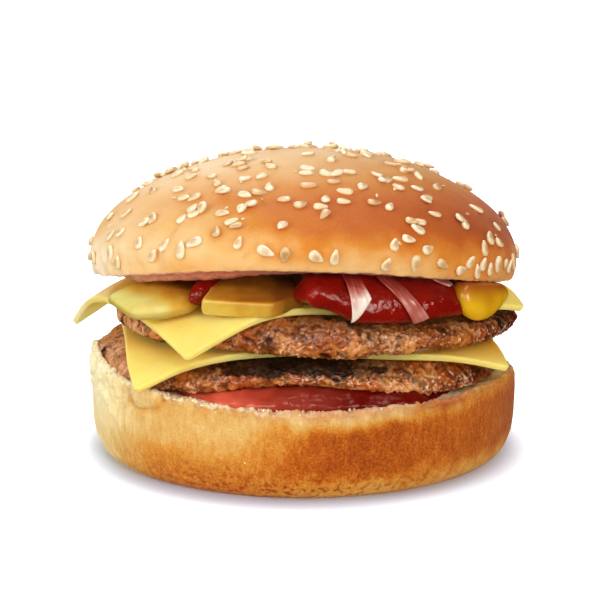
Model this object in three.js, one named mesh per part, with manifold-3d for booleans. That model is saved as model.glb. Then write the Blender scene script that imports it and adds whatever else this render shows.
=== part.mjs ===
// Double cheeseburger: a seeded bun round two beef patties, two slices of cheese, ketchup, mustard,
// pickle slices and strips of onion. Millimetres, +Z up, front towards -Y; the origin is the middle
// of the flat base. Every layer runs through the stack, and its height is a function of the plan
// position, so that each one lies a small gap above the one that carries it.

import * as THREE from "three";
import { ImprovedNoise } from "three/addons/math/ImprovedNoise.js";
import { mergeVertices } from "three/addons/utils/BufferGeometryUtils.js";
import Module from "manifold-3d";

const wasm = await Module();
wasm.setup();

// ---------- driving dimensions ----------
// Azimuth (at) is in degrees from the front, positive towards +X. A bump raises an edge by rise at
// that azimuth and fades over width degrees to each side.

const gap = 0.3; // clearance between neighbouring pieces

const heel = {
  radius: 50.6, // at the upright wall
  baseRadius: 44, // flat underside
  cornerHeight: 11.5, // height of the rounded lower corner
  cornerPower: 2.5, // roundness of that corner
  faceHeight: 20.9, // middle of the cut face
  faceRadius: 44, // where the cut face starts to run to the rim
  faceDrop: 0.2, // play left under the fillings
  lipDrop: 1.2, // the wall ends this far below the rim
  rimHeight: 22.7, // rim away from the bumps below
  rimBumps: [
    { at: 0, width: 38, rise: -2.0 }, // sags at the front
    { at: -80, width: 19, rise: 2.8 }, // stands up on the left
    { at: 88, width: 24, rise: -2.9 }, // pressed down on the right
  ],
  crumb: 0.35, // ragged edge of the cut
  sides: 50,
};

const lowerPatty = {
  radius: 48,
  centreX: -0.5,
  bottom: 22.6,
  lifts: [
    { at: -3, width: 26, rise: 2.2 }, // carried by the ketchup at the front
    { at: 82, width: 34, rise: -0.7 },
  ],
  thickness: 5.6,
  crag: 0.55,
  sides: 48,
};

const upperPatty = {
  radius: 47.6,
  centreX: 3.1,
  thickness: 6.6,
  topLift: { at: -5, width: 40, rise: 1.0 },
  sag: 0.35, // lower edge that settles over the slice below
  frontSag: { at: 0, width: 24, rise: 1.1 }, // and more where that slice ends short
  sagStart: 40.5,
  sagEnd: 46,
  crag: 0.65,
  sides: 48,
};

const edgeRamp = { radius: 44, power: 1.3 }; // how a bump at the patties' edge fades inwards

const slice = {
  side: 84,
  thickness: 1.5,
  hold: 4.5, // the slice lies flat up to this far inside the patty's edge
  bendLength: 9, // length over which it bends down
  cells: 14,
};

const lowerCheese = {
  corner: new THREE.Vector2(-37.3, -45), // front left corner, laid out flat
  turn: 8, // degrees from the X axis to the front edge
  droop: 20, // degrees that the overhang sinks away from the corners below
  corners: [
    { at: -39, width: 35, rise: 16 },
    { at: -126, width: 40, rise: 8 },
    { at: 144, width: 40, rise: 5 },
  ],
};

const upperCheese = {
  corner: new THREE.Vector2(-25.2, -54.6),
  turn: 25.5,
  droop: 9,
  corners: [
    { at: -25, width: 33, rise: 20 },
    { at: -112, width: 36, rise: 31 },
    { at: 158, width: 40, rise: 20 },
  ],
};

const crown = {
  radius: 50.2,
  height: 29.4, // from the rim's middle height to the top
  belly: 5.2, // widest point above the rim
  tuck: 1.2, // how far the wall pulls in below the belly
  planPower: 2.05,
  heightPower: 1.8,
  restHeight: 40.5, // underside at the back, where it lies on the stack
  propRise: 10.9, // underside at the front edge, above the back
  propStart: 25,
  propSpan: 75,
  propPower: 2.3,
  roll: -0.014, // rise for each millimetre towards +X
  arch: 1.6, // hollow of the cut face
  sides: 56,
};

const lowerKetchup = {
  radius: 41,
  bead: { at: 1, width: 31, rise: 8 }, // squeezed out towards the front
  edgePower: 30,
  sides: 32,
};

const upperKetchup = {
  radius: 38,
  film: 1.0, // thickness where it is only spread
  bead: { at: 17, width: 36, rise: 17 }, // thick roll that bulges out under the crown
  smear: { at: -27, width: 9, rise: 3 }, // squeezed up between the pickles
  reach: 51.4, // furthest that the roll bulges
  fill: { at: 20, width: 26, strength: 1.6 }, // where the roll fills the room up to the crown
  fillStart: 22,
  fillEnd: 42,
  roof: 1.7, // room left under the crown for the onion
  overhang: 2.2, // how far the roll hangs below the slice's face
  hangStart: 46.5,
  hangEnd: 49,
  edgePower: 18,
  sides: 40,
};

const sauceShares = [0.6, 0.9, 0.975];

const mustard = {
  azimuth: 49,
  distance: 43.8, // of its middle from the axis
  halfWidth: 8.2, // round the stack
  halfDepth: 8.3, // along the radius
  squareness: 3,
  overhang: 2.2,
  hangStart: 46,
  hangEnd: 51,
  sides: 18,
};

const pickles = [
  {
    name: "pickle_left",
    at: [-33.3, -32.2, 41.9],
    long: 10.2,
    short: 9.6,
    thick: 3.3,
    turn: 10,
    tilt: [1, -11.5],
  },
  {
    name: "pickle_right",
    at: [-12.2, -39.0, 44.0],
    long: 10.2,
    short: 9.4,
    thick: 3.4,
    turn: -8,
    tilt: [5, 0],
  },
];

const onion = {
  thickness: 0.9,
  clearance: 0.45, // from the ketchup that it lies on
  rows: 6,
  columns: 2,
};

// Each strip leaves the gap under the crown at one azimuth and ends lower down at another. top and
// end are angles round the nose of the ketchup roll, 90 above it and -90 below.
const onionStrips = [
  { name: "onion_strip_1", from: 10.5, to: 14, top: 62, end: -30, width: 4.2 },
  { name: "onion_strip_2", from: 21.5, to: 29, top: 62, end: -42, width: 4.4 },
  { name: "onion_strip_3", from: 34, to: 38, top: 62, end: 22, width: 3.2 },
];

const seeds = {
  count: 184,
  length: 3.7,
  width: 2.5,
  height: 0.75, // above the crust
  sunk: 0.4,
  spread: 1.3, // of the sunk rim over the seed's own outline
  spacing: 3.1, // least distance between two middles
  first: 5, // start of the random stream
};

// ---------- shared helpers ----------

const { clamp, degToRad, lerp, radToDeg, smoothstep } = THREE.MathUtils;
const up = new THREE.Vector3(0, 0, 1);
const noise = new ImprovedNoise();

function azimuthOf(x, y) {
  return radToDeg(Math.atan2(x, -y));
}

function polar(azimuth, radius, centreX = 0, centreY = 0) {
  const angle = degToRad(azimuth);
  return new THREE.Vector2(centreX + radius * Math.sin(angle), centreY - radius * Math.cos(angle));
}

// A rounded bump in azimuth that is 1 at its middle.
function bump(azimuth, { at, width }) {
  const away = ((((azimuth - at + 180) % 360) + 360) % 360) - 180;
  return Math.exp(-((away / width) ** 2));
}

function bumps(azimuth, list) {
  return list.reduce((sum, one) => sum + one.rise * bump(azimuth, one), 0);
}

// Uneven surface: two sizes of smooth noise, between about -1 and 1.
function rough(x, y, z, size) {
  const fine = size * 0.45;
  return noise.noise(x / size, y / size, z / size) + 0.5 * noise.noise(x / fine + 7, y / fine, z / fine);
}

// A repeatable stream of numbers between 0 and 1.
function randomStream(first) {
  let state = first;
  return () => {
    state = (state * 16807) % 2147483647;
    return state / 2147483647;
  };
}

// Closed solid from rings of equal length, listed from the bottom pole to the top pole. Azimuth runs
// anticlockwise seen from above, which turns every face outwards.
function ringSolid(bottomPole, rings, topPole) {
  const sides = rings[0].length;
  const points = [bottomPole, ...rings.flat(), topPole];
  const top = points.length - 1;
  const faces = [];
  for (let side = 0; side < sides; side++) {
    const next = (side + 1) % sides;
    faces.push(0, 1 + next, 1 + side);
    for (let ring = 0; ring < rings.length - 1; ring++) {
      const low = 1 + ring * sides;
      const high = low + sides;
      faces.push(low + side, low + next, high + next, low + side, high + next, high + side);
    }
    const last = top - sides;
    faces.push(last + side, last + next, top);
  }
  return new THREE.BufferGeometry().setFromPoints(points).setIndex(faces);
}

// Flat-bodied layer with a rounded edge. share runs from 0 in the middle to 1 at the outline, and the
// half thickness shrinks towards the outline as (1 - share^edgePower)^(1/2).
function layer({
  outline,
  bottom,
  top,
  sides,
  shares = [0.45, 0.82, 0.94, 0.985],
  edgePower = 24,
  centreX = 0,
  centreY = 0,
  relief,
}) {
  const profile = [
    ...shares.map((share) => ({ share, side: -1 })),
    { share: 1, side: 0 },
    ...shares.toReversed().map((share) => ({ share, side: 1 })),
  ];
  const pointAt = (azimuth, share, side) => {
    const plan = polar(azimuth, share * outline(azimuth), centreX, centreY);
    const low = bottom(plan.x, plan.y);
    const high = top(plan.x, plan.y);
    const half = ((high - low) / 2) * Math.sqrt(1 - share ** edgePower) * side;
    const point = new THREE.Vector3(plan.x, plan.y, (low + high) / 2 + half);
    if (relief) point.add(relief(point, azimuth, share));
    return point;
  };
  const rings = profile.map(({ share, side }) =>
    Array.from({ length: sides }, (_, i) => pointAt((i * 360) / sides, share, side)),
  );
  return ringSolid(pointAt(0, 0, -1), rings, pointAt(0, 0, 1));
}

// ---------- booleans ----------

function toManifold(geometry) {
  const bare = geometry.clone();
  bare.deleteAttribute("normal");
  bare.deleteAttribute("uv");
  const merged = mergeVertices(bare, 1e-3);
  return new wasm.Manifold(
    new wasm.Mesh({
      numProp: 3,
      vertProperties: merged.attributes.position.array,
      triVerts: new Uint32Array(merged.index.array),
    }),
  );
}

function fromManifold(solid) {
  const mesh = solid.getMesh();
  return new THREE.BufferGeometry()
    .setAttribute("position", new THREE.BufferAttribute(mesh.vertProperties, 3))
    .setIndex(new THREE.BufferAttribute(mesh.triVerts, 1));
}

// ---------- heights of the stack ----------

function heelRim(azimuth) {
  return heel.rimHeight + bumps(azimuth, heel.rimBumps);
}

function heelFace(x, y) {
  const share = smoothstep(Math.hypot(x, y), heel.faceRadius, heel.radius);
  return lerp(heel.faceHeight, heelRim(azimuthOf(x, y)), share);
}

// A rise that fades to nothing at the middle of the stack, where azimuth has no meaning.
function edgeRise(x, y, list) {
  const share = Math.min(1, Math.hypot(x, y) / edgeRamp.radius) ** edgeRamp.power;
  return bumps(azimuthOf(x, y), list) * share;
}

function lowerPattyBottom(x, y) {
  return lowerPatty.bottom + edgeRise(x, y, lowerPatty.lifts);
}

function lowerPattyTop(x, y) {
  return lowerPattyBottom(x, y) + lowerPatty.thickness;
}

function upperPattySeat(x, y) {
  return lowerPattyTop(x, y) + slice.thickness + 2 * gap;
}

function upperPattyBottom(x, y) {
  const sag = upperPatty.sag + bumps(azimuthOf(x, y), [upperPatty.frontSag]);
  const outside = smoothstep(Math.hypot(x, y), upperPatty.sagStart, upperPatty.sagEnd);
  return upperPattySeat(x, y) - sag * outside;
}

function upperPattyTop(x, y) {
  return upperPattySeat(x, y) + upperPatty.thickness + edgeRise(x, y, [upperPatty.topLift]);
}

function upperCheeseTop(x, y) {
  return upperPattyTop(x, y) + slice.thickness + gap;
}

// Underside of the crown's rim: flat at the back and lifted towards the front by the fillings.
function crownRim(x, y) {
  const share = Math.max(0, (crown.propStart - y) / crown.propSpan);
  return crown.restHeight + crown.propRise * share ** crown.propPower + crown.roll * x;
}

function crownUnderside(x, y) {
  const share = Math.min(1, Math.hypot(x, y) / crown.radius);
  return crownRim(x, y) + crown.arch * (1 - share ** 2);
}

// ---------- bun ----------

function makeHeel() {
  const ring = (radius, heightAt) =>
    Array.from({ length: heel.sides }, (_, i) => {
      const plan = polar((i * 360) / heel.sides, radius);
      return new THREE.Vector3(plan.x, plan.y, heightAt(plan.x, plan.y));
    });
  const corner = [0, 0.14, 0.34, 0.6, 1].map((height) => {
    const share = (1 - (1 - height) ** heel.cornerPower) ** (1 / heel.cornerPower);
    return ring(lerp(heel.baseRadius, heel.radius, share), () => height * heel.cornerHeight);
  });
  const lip = ring(heel.radius, (x, y) => heelRim(azimuthOf(x, y)) - heel.lipDrop);
  const face = (radius) =>
    ring(radius, (x, y) => {
      const ragged = smoothstep(radius, heel.faceRadius, heel.faceRadius + 2);
      return heelFace(x, y) - heel.faceDrop + ragged * heel.crumb * rough(x, y, 3, 5);
    });
  const rim = [0.7, 2.6, 4.8].map((inset) => face(heel.radius - inset));
  const middle = [0.9, 0.5].map((share) => face(heel.faceRadius * share));
  return ringSolid(
    new THREE.Vector3(0, 0, 0),
    [...corner, lip, ...rim, ...middle],
    new THREE.Vector3(0, 0, heelFace(0, 0) - heel.faceDrop),
  );
}

// Point on the crust. rise runs from -1 at the rim through 0 at the belly to 1 at the top.
function crustPoint(azimuth, rise) {
  const angle = (rise * Math.PI) / 2;
  const above = rise >= 0;
  const radius = above
    ? crown.radius * Math.cos(angle) ** (2 / crown.planPower)
    : crown.radius - crown.tuck * (1 - Math.cos(angle));
  const height = above
    ? crown.belly + (crown.height - crown.belly) * Math.sin(angle) ** (2 / crown.heightPower)
    : crown.belly * (1 + Math.sin(angle));
  const plan = polar(azimuth, radius);
  const middle = crownRim(0, 0);
  const lift = (crownRim(plan.x, plan.y) - middle) * (1 - height / crown.height);
  return new THREE.Vector3(plan.x, plan.y, middle + lift + height);
}

function crustNormal(azimuth, rise) {
  const step = 0.01;
  const here = crustPoint(azimuth, rise);
  const along = crustPoint(azimuth + step * 90, rise).sub(here);
  const upward = crustPoint(azimuth, Math.min(rise + step, 0.999)).sub(here);
  return along.cross(upward).normalize();
}

function makeCrown() {
  const sides = crown.sides;
  const underside = (radius) =>
    Array.from({ length: sides }, (_, i) => {
      const plan = polar((i * 360) / sides, radius);
      return new THREE.Vector3(plan.x, plan.y, crownUnderside(plan.x, plan.y));
    });
  const crust = (rise) =>
    Array.from({ length: sides }, (_, i) => crustPoint((i * 360) / sides, rise));
  const rims = [18, 34, 43, 47.6].map(underside);
  const rises = [-0.95, -0.55, 0, 0.2, 0.37, 0.52, 0.66, 0.79, 0.91].map(crust);
  return ringSolid(
    new THREE.Vector3(0, 0, crownUnderside(0, 0)),
    [...rims, ...rises],
    crustPoint(0, 1),
  );
}

// Share of the seeds that stick at a place: thick on the crown and low on the right, thin on the
// flank at the front left.
function seedCover(azimuth, rise) {
  const onTop = smoothstep(rise, 0.3, 0.75);
  const lowRight = bump(azimuth, { at: 62, width: 34 }) * (1 - smoothstep(rise, 0.1, 0.45));
  return clamp(0.28 + 0.72 * onTop + 0.75 * lowRight, 0, 1);
}

function placeSeeds() {
  const random = randomStream(seeds.first);
  const placed = [];
  while (placed.length < seeds.count) {
    const azimuth = random() * 360 - 180;
    const angle = Math.asin(lerp(-0.3, 0.998, random()));
    const turn = random() * 2 * Math.PI;
    const size = 0.84 + 0.26 * random();
    const rise = (2 * angle) / Math.PI;
    const flatness = Math.hypot(Math.sin(angle), 0.45 * Math.cos(angle)); // share of area at this rise
    if (random() > seedCover(azimuth, rise) * flatness) continue;
    const point = crustPoint(azimuth, rise);
    if (placed.some((other) => other.point.distanceTo(point) < seeds.spacing)) continue;
    placed.push({ point, normal: crustNormal(azimuth, rise), turn, size });
  }
  return placed;
}

// A sesame seed: a drop-shaped grain with six sloping sides that meet in a short ridge. Its rim is
// spread a little and sunk, so that the grain has its true size where it leaves the crust.
function makeSeed({ point, normal, turn, size }) {
  const sides = 6;
  const rim = Array.from({ length: sides }, (_, i) => {
    const angle = ((i + 0.5) * 2 * Math.PI) / sides;
    const taper = 1 - 0.3 * Math.cos(angle);
    return new THREE.Vector3(
      (seeds.length / 2) * seeds.spread * Math.cos(angle),
      (seeds.width / 2) * seeds.spread * taper * Math.sin(angle),
      -seeds.sunk,
    );
  });
  const nose = new THREE.Vector3(0.27 * seeds.length, 0, seeds.height);
  const tail = new THREE.Vector3(-0.2 * seeds.length, 0, seeds.height);
  const root = new THREE.Vector3(0, 0, -2 * seeds.sunk);
  const points = [...rim, nose, tail, root];
  const roof = [0, 1, 6, 1, 7, 6, 1, 2, 7, 2, 3, 7, 3, 4, 7, 4, 6, 7, 4, 5, 6, 5, 0, 6];
  const keel = rim.flatMap((_, i) => [(i + 1) % sides, i, 8]);
  const seed = new THREE.BufferGeometry().setFromPoints(points).setIndex([...roof, ...keel]);
  const stand = new THREE.Quaternion().setFromUnitVectors(up, normal);
  seed.rotateZ(turn);
  seed.scale(size, size, size);
  seed.applyQuaternion(stand);
  seed.translate(point.x, point.y, point.z);
  return seed;
}

function makeSeededCrown() {
  const grains = placeSeeds().map((place) => toManifold(makeSeed(place)));
  return fromManifold(wasm.Manifold.union([toManifold(makeCrown()), ...grains]));
}

// ---------- patties ----------

// Coarse mince: the edge is pushed in and out, and the flat faces hardly at all.
function cragRelief(depth, seed) {
  return (point, azimuth, share) => {
    const push = depth * rough(point.x, point.y, point.z + seed, 6) * smoothstep(share, 0.75, 1);
    const plan = polar(azimuth, push);
    return new THREE.Vector3(plan.x, plan.y, 0);
  };
}

function pattyEdge(patty, seed) {
  return (azimuth) => {
    const plan = polar(azimuth, 1);
    return patty.radius - 0.4 + 0.5 * noise.noise(plan.x * 1.7 + seed, plan.y * 1.7, seed);
  };
}

function makeLowerPatty() {
  return layer({
    outline: pattyEdge(lowerPatty, 3),
    bottom: lowerPattyBottom,
    top: lowerPattyTop,
    centreX: lowerPatty.centreX,
    sides: lowerPatty.sides,
    edgePower: 15,
    relief: cragRelief(lowerPatty.crag, 0),
  });
}

function makeUpperPatty() {
  return layer({
    outline: pattyEdge(upperPatty, 8),
    bottom: upperPattyBottom,
    top: upperPattyTop,
    centreX: upperPatty.centreX,
    sides: upperPatty.sides,
    relief: cragRelief(upperPatty.crag, 20),
  });
}

// ---------- cheese ----------

// Point at a distance off the underside of a slice that lies on a patty. Past the patty's edge the
// slice bends down on an arc and then runs on straight.
function drapedPoint(flat, cheese, patty, pattyTop, offset) {
  const azimuth = azimuthOf(flat.x, flat.y);
  const reach = flat.length();
  const start = patty.radius + patty.centreX * Math.sin(degToRad(azimuth)) - slice.hold;
  const past = Math.max(0, reach - start);
  const droop = degToRad(cheese.droop + bumps(azimuth, cheese.corners));
  const bent = Math.min(past, slice.bendLength);
  const angle = (droop * bent) / slice.bendLength;
  const bendRadius = slice.bendLength / droop;
  const radius = reach - past + bendRadius * Math.sin(angle) + (past - bent) * Math.cos(droop);
  const sink = bendRadius * (1 - Math.cos(angle)) + (past - bent) * Math.sin(droop);
  const edge = polar(azimuth, reach - past);
  const plan = polar(azimuth, radius + offset * Math.sin(angle));
  return new THREE.Vector3(plan.x, plan.y, pattyTop(edge.x, edge.y) - sink + offset * Math.cos(angle));
}

// Thin slab with both faces split into the same cells.
function makeCheese(cheese, patty, pattyTop) {
  const cells = slice.cells;
  const turn = degToRad(cheese.turn);
  const across = new THREE.Vector2(Math.cos(turn), Math.sin(turn));
  const back = new THREE.Vector2(-across.y, across.x);
  const row = cells + 1;
  const points = [];
  for (const offset of [gap, gap + slice.thickness]) {
    for (let j = 0; j <= cells; j++) {
      for (let i = 0; i <= cells; i++) {
        const flat = cheese.corner
          .clone()
          .addScaledVector(across, (slice.side * i) / cells)
          .addScaledVector(back, (slice.side * j) / cells);
        points.push(drapedPoint(flat, cheese, patty, pattyTop, offset));
      }
    }
  }
  const faces = [];
  const quad = (a, b, c, d) => faces.push(a, b, c, a, c, d);
  const upper = row * row;
  for (let j = 0; j < cells; j++) {
    for (let i = 0; i < cells; i++) {
      const a = j * row + i;
      quad(a, a + row, a + row + 1, a + 1);
      quad(upper + a, upper + a + 1, upper + a + row + 1, upper + a + row);
    }
  }
  for (let k = 0; k < cells; k++) {
    const front = k;
    const rear = cells * row + k;
    const left = k * row;
    const right = k * row + cells;
    quad(front, front + 1, upper + front + 1, upper + front);
    quad(rear + 1, rear, upper + rear, upper + rear + 1);
    quad(left + row, left, upper + left, upper + left + row);
    quad(right, right + row, upper + right + row, upper + right);
  }
  return new THREE.BufferGeometry().setFromPoints(points).setIndex(faces);
}

// ---------- sauces ----------

function makeLowerKetchup() {
  return layer({
    outline: (azimuth) => lowerKetchup.radius + bumps(azimuth, [lowerKetchup.bead]),
    bottom: (x, y) => heelFace(x, y) + gap,
    top: (x, y) => lowerPattyBottom(x, y) - gap,
    sides: lowerKetchup.sides,
    shares: sauceShares,
    edgePower: lowerKetchup.edgePower,
  });
}

function upperKetchupEdge(azimuth) {
  const squeezed = bumps(azimuth, [upperKetchup.bead, upperKetchup.smear]);
  return Math.min(upperKetchup.radius + squeezed, upperKetchup.reach);
}

function upperKetchupBottom(x, y) {
  const hang = upperKetchup.overhang * bump(azimuthOf(x, y), upperKetchup.bead);
  const outside = smoothstep(Math.hypot(x, y), upperKetchup.hangStart, upperKetchup.hangEnd);
  return upperCheeseTop(x, y) + gap - hang * outside;
}

function upperKetchupTop(x, y) {
  const { film, roof, fill, fillStart, fillEnd, smear } = upperKetchup;
  const spread = upperCheeseTop(x, y) + gap + film;
  const full = crownUnderside(x, y) - roof;
  const azimuth = azimuthOf(x, y);
  const outward = smoothstep(Math.hypot(x, y), fillStart, fillEnd);
  const roll = Math.min(1, fill.strength * bump(azimuth, fill)) * outward;
  const mound = bumps(azimuth, [smear]) * outward;
  return lerp(spread + mound, Math.max(spread, full), roll);
}

function upperKetchupLayer() {
  return {
    outline: upperKetchupEdge,
    bottom: upperKetchupBottom,
    top: upperKetchupTop,
    sides: upperKetchup.sides,
    shares: sauceShares,
    edgePower: upperKetchup.edgePower,
  };
}

// The blob of mustard, grown by a margin on every side.
function mustardBlob(margin) {
  const centre = polar(mustard.azimuth, mustard.distance);
  const power = mustard.squareness;
  return layer({
    outline: (azimuth) => {
      const angle = degToRad(azimuth - mustard.azimuth);
      const depth = Math.abs(Math.cos(angle) / mustard.halfDepth) ** power;
      const width = Math.abs(Math.sin(angle) / mustard.halfWidth) ** power;
      return (depth + width) ** (-1 / power) + margin;
    },
    bottom: (x, y) => {
      const outside = smoothstep(Math.hypot(x, y), mustard.hangStart, mustard.hangEnd);
      return upperCheeseTop(x, y) + gap - mustard.overhang * outside - margin;
    },
    top: (x, y) => crownUnderside(x, y) - 2 * gap + margin,
    centreX: centre.x,
    centreY: centre.y,
    sides: mustard.sides,
    shares: [0.7, 0.92],
    edgePower: 5,
  });
}

// ---------- pickles ----------

function pickleSlice({ at, long, short, thick, turn, tilt }, margin) {
  const geometry = layer({
    outline: (azimuth) => {
      const angle = degToRad(azimuth);
      const round = 1 / Math.hypot(Math.sin(angle) / long, Math.cos(angle) / short);
      return round + margin;
    },
    bottom: () => -thick / 2 - margin,
    top: () => thick / 2 + margin,
    sides: 22,
    shares: [0.93],
    edgePower: 22,
  });
  geometry.rotateZ(degToRad(turn));
  geometry.rotateX(degToRad(tilt[0]));
  geometry.rotateY(degToRad(tilt[1]));
  geometry.translate(...at);
  return geometry;
}

function makeUpperKetchup() {
  const cutters = [mustardBlob(gap), ...pickles.map((one) => pickleSlice(one, gap))];
  return fromManifold(
    cutters.reduce(
      (solid, cutter) => solid.subtract(toManifold(cutter)),
      toManifold(layer(upperKetchupLayer())),
    ),
  );
}

// ---------- onion ----------

// Point on the roll of ketchup: turn is the angle round its nose, 90 at the top and -90 below.
function nosePoint(azimuth, turn) {
  const shape = upperKetchupLayer();
  const lean = degToRad(turn);
  const share = Math.cos(lean) ** (2 / shape.edgePower);
  const plan = polar(azimuth, share * shape.outline(azimuth));
  const low = shape.bottom(plan.x, plan.y);
  const high = shape.top(plan.x, plan.y);
  return new THREE.Vector3(plan.x, plan.y, (low + high) / 2 + ((high - low) / 2) * Math.sin(lean));
}

function noseOutward(azimuth, turn) {
  const here = nosePoint(azimuth, turn);
  const along = nosePoint(azimuth + 0.5, turn).sub(here);
  const upward = nosePoint(azimuth, turn + 1).sub(here);
  return along.cross(upward).normalize();
}

function makeOnionStrip({ from, to, top, end, width }) {
  const { rows, columns, thickness, clearance } = onion;
  const spread = radToDeg(width / upperKetchup.reach);
  const points = [];
  for (const offset of [clearance, clearance + thickness]) {
    for (let j = 0; j <= rows; j++) {
      for (let i = 0; i <= columns; i++) {
        const azimuth = lerp(from, to, j / rows) + (i / columns - 0.5) * spread;
        const turn = lerp(top, end, j / rows);
        const outward = noseOutward(azimuth, turn);
        points.push(nosePoint(azimuth, turn).addScaledVector(outward, offset));
      }
    }
  }
  const row = columns + 1;
  const outer = row * (rows + 1);
  const faces = [];
  const quad = (a, b, c, d) => faces.push(a, b, c, a, c, d);
  for (let j = 0; j < rows; j++) {
    for (let i = 0; i < columns; i++) {
      const a = j * row + i;
      quad(a, a + 1, a + row + 1, a + row);
      quad(outer + a, outer + a + row, outer + a + row + 1, outer + a + 1);
    }
    const left = j * row;
    const right = left + columns;
    quad(left, left + row, outer + left + row, outer + left);
    quad(right + row, right, outer + right, outer + right + row);
  }
  for (let i = 0; i < columns; i++) {
    const low = rows * row + i;
    quad(i + 1, i, outer + i, outer + i + 1);
    quad(low, low + 1, outer + low + 1, outer + low);
  }
  return new THREE.BufferGeometry().setFromPoints(points).setIndex(faces);
}

// ---------- assembly ----------

const finishes = {
  bread: { color: "#d9964f", roughness: 0.6 },
  beef: { color: "#6b4630", roughness: 0.55 },
  cheese: { color: "#f2cf55", roughness: 0.4 },
  ketchup: { color: "#9c1712", roughness: 0.2 },
  mustard: { color: "#eab00e", roughness: 0.3 },
  pickle: { color: "#a8932c", roughness: 0.3 },
  onion: { color: "#cf9a94", roughness: 0.3 },
};

const materials = Object.fromEntries(
  Object.entries(finishes).map(([name, finish]) => [
    name,
    new THREE.MeshStandardMaterial({ ...finish, metalness: 0 }),
  ]),
);

const burger = new THREE.Group();

function addPiece(name, geometry, finish) {
  const mesh = new THREE.Mesh(geometry, materials[finish]);
  mesh.name = name;
  burger.add(mesh);
}

addPiece("bun_bottom", makeHeel(), "bread");
addPiece("ketchup_lower", makeLowerKetchup(), "ketchup");
addPiece("patty_lower", makeLowerPatty(), "beef");
addPiece("cheese_lower", makeCheese(lowerCheese, lowerPatty, lowerPattyTop), "cheese");
addPiece("patty_upper", makeUpperPatty(), "beef");
addPiece("cheese_upper", makeCheese(upperCheese, upperPatty, upperPattyTop), "cheese");
addPiece("ketchup_upper", makeUpperKetchup(), "ketchup");
addPiece("mustard", mustardBlob(0), "mustard");
for (const one of pickles) addPiece(one.name, pickleSlice(one, 0), "pickle");
for (const strip of onionStrips) addPiece(strip.name, makeOnionStrip(strip), "onion");
addPiece("bun_top", makeSeededCrown(), "bread");

export default burger;
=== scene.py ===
# Double cheeseburger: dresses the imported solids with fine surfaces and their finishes.
# Shapes are worked out in millimetres and written to the meshes in metres.
import math

import bpy
import numpy as np
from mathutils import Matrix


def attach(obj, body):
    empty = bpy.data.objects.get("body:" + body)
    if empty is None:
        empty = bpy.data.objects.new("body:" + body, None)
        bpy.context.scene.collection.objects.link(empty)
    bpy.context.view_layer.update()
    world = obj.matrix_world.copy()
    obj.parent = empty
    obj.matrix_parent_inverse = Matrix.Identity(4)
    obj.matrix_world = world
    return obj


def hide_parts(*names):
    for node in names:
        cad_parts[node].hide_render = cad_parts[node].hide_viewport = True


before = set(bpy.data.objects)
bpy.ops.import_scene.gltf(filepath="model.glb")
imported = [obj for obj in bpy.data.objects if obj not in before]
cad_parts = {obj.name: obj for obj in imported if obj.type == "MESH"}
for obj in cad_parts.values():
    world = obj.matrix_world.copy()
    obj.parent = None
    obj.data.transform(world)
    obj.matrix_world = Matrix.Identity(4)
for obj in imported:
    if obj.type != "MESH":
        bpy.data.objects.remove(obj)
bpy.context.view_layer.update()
mm = 0.001


# An azimuth is in degrees from the front (-Y), positive towards +X.
def azimuthOf(x, y):
    return np.degrees(np.arctan2(x, -y))


def azimuthAt(points):
    return azimuthOf(points[..., 0], points[..., 1])


def reachAt(points):
    return np.hypot(points[..., 0], points[..., 1])


def polar(azimuth, radius, centre=(0, 0)):
    angle = np.radians(azimuth)
    return centre[0] + radius * np.sin(angle), centre[1] - radius * np.cos(angle)


def unit(vectors):
    return vectors / np.maximum(np.linalg.norm(vectors, axis=-1, keepdims=True), 1e-9)


def joined(x, y, z):
    return np.stack(np.broadcast_arrays(x, y, z), axis=-1)


# 3t^2 - 2t^3 for the share t of the way from low to high.
def smoothstep(value, low, high):
    share = np.clip((value - low) / (high - low), 0, 1)
    return share * share * (3 - 2 * share)


def lerp(low, high, share):
    return low + (high - low) * share


# Sum of bumps, each (azimuth, width, rise): rise times e^-(away/width)^2, with away the short way round.
def bumps(azimuth, *several):
    away = [(azimuth - at + 180) % 360 - 180 for at, width, rise in several]
    return sum(one[2] * np.exp(-(gap / one[1]) ** 2) for gap, one in zip(away, several))


# Random tables that all unevenness is read from.
table = np.random.default_rng(7)
shuffled = np.tile(table.permutation(256), 3)
slopes = table.normal(size=(256, 3))
slopes /= np.linalg.norm(slopes, axis=1, keepdims=True)
jitter = table.random((256, 3))


# Number from 0 to 255 of a lattice cell, from the shuffled table at x, then y, then z.
def latticeNumber(cell):
    wrapped = cell & 255
    return shuffled[shuffled[shuffled[wrapped[..., 0]] + wrapped[..., 1]] + wrapped[..., 2]]


# Gradient noise, about -1 to 1: every lattice corner has a random slope, and the eight slopes round a
# point are blended by the curve 6t^5 - 15t^4 + 10t^3. size is the lattice spacing in mm.
def noise(points, size):
    place = points / np.asarray(size, float) + 31.7
    cell = np.floor(place).astype(int)
    part = place - cell
    fade = part ** 3 * (part * (part * 6 - 15) + 10)
    total = 0
    for corner in np.ndindex(2, 2, 2):
        weight = np.prod(np.where(np.array(corner) == 1, fade, 1 - fade), axis=-1)
        total = total + weight * np.sum(slopes[latticeNumber(cell + corner)] * (part - corner), axis=-1)
    return 1.8 * total


# Layers of noise, each (strength, size), laid on each other.
def rough(points, *layers):
    return sum(strength * noise(points, size) for strength, size in layers)


# Noise of the given size with halves and quarters of it laid on top, each half as strong.
def layeredNoise(points, size, layers=3):
    return sum(noise(points + 13.0 * i, np.asarray(size, float) / 2 ** i) / 2 ** i for i in range(layers))


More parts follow.
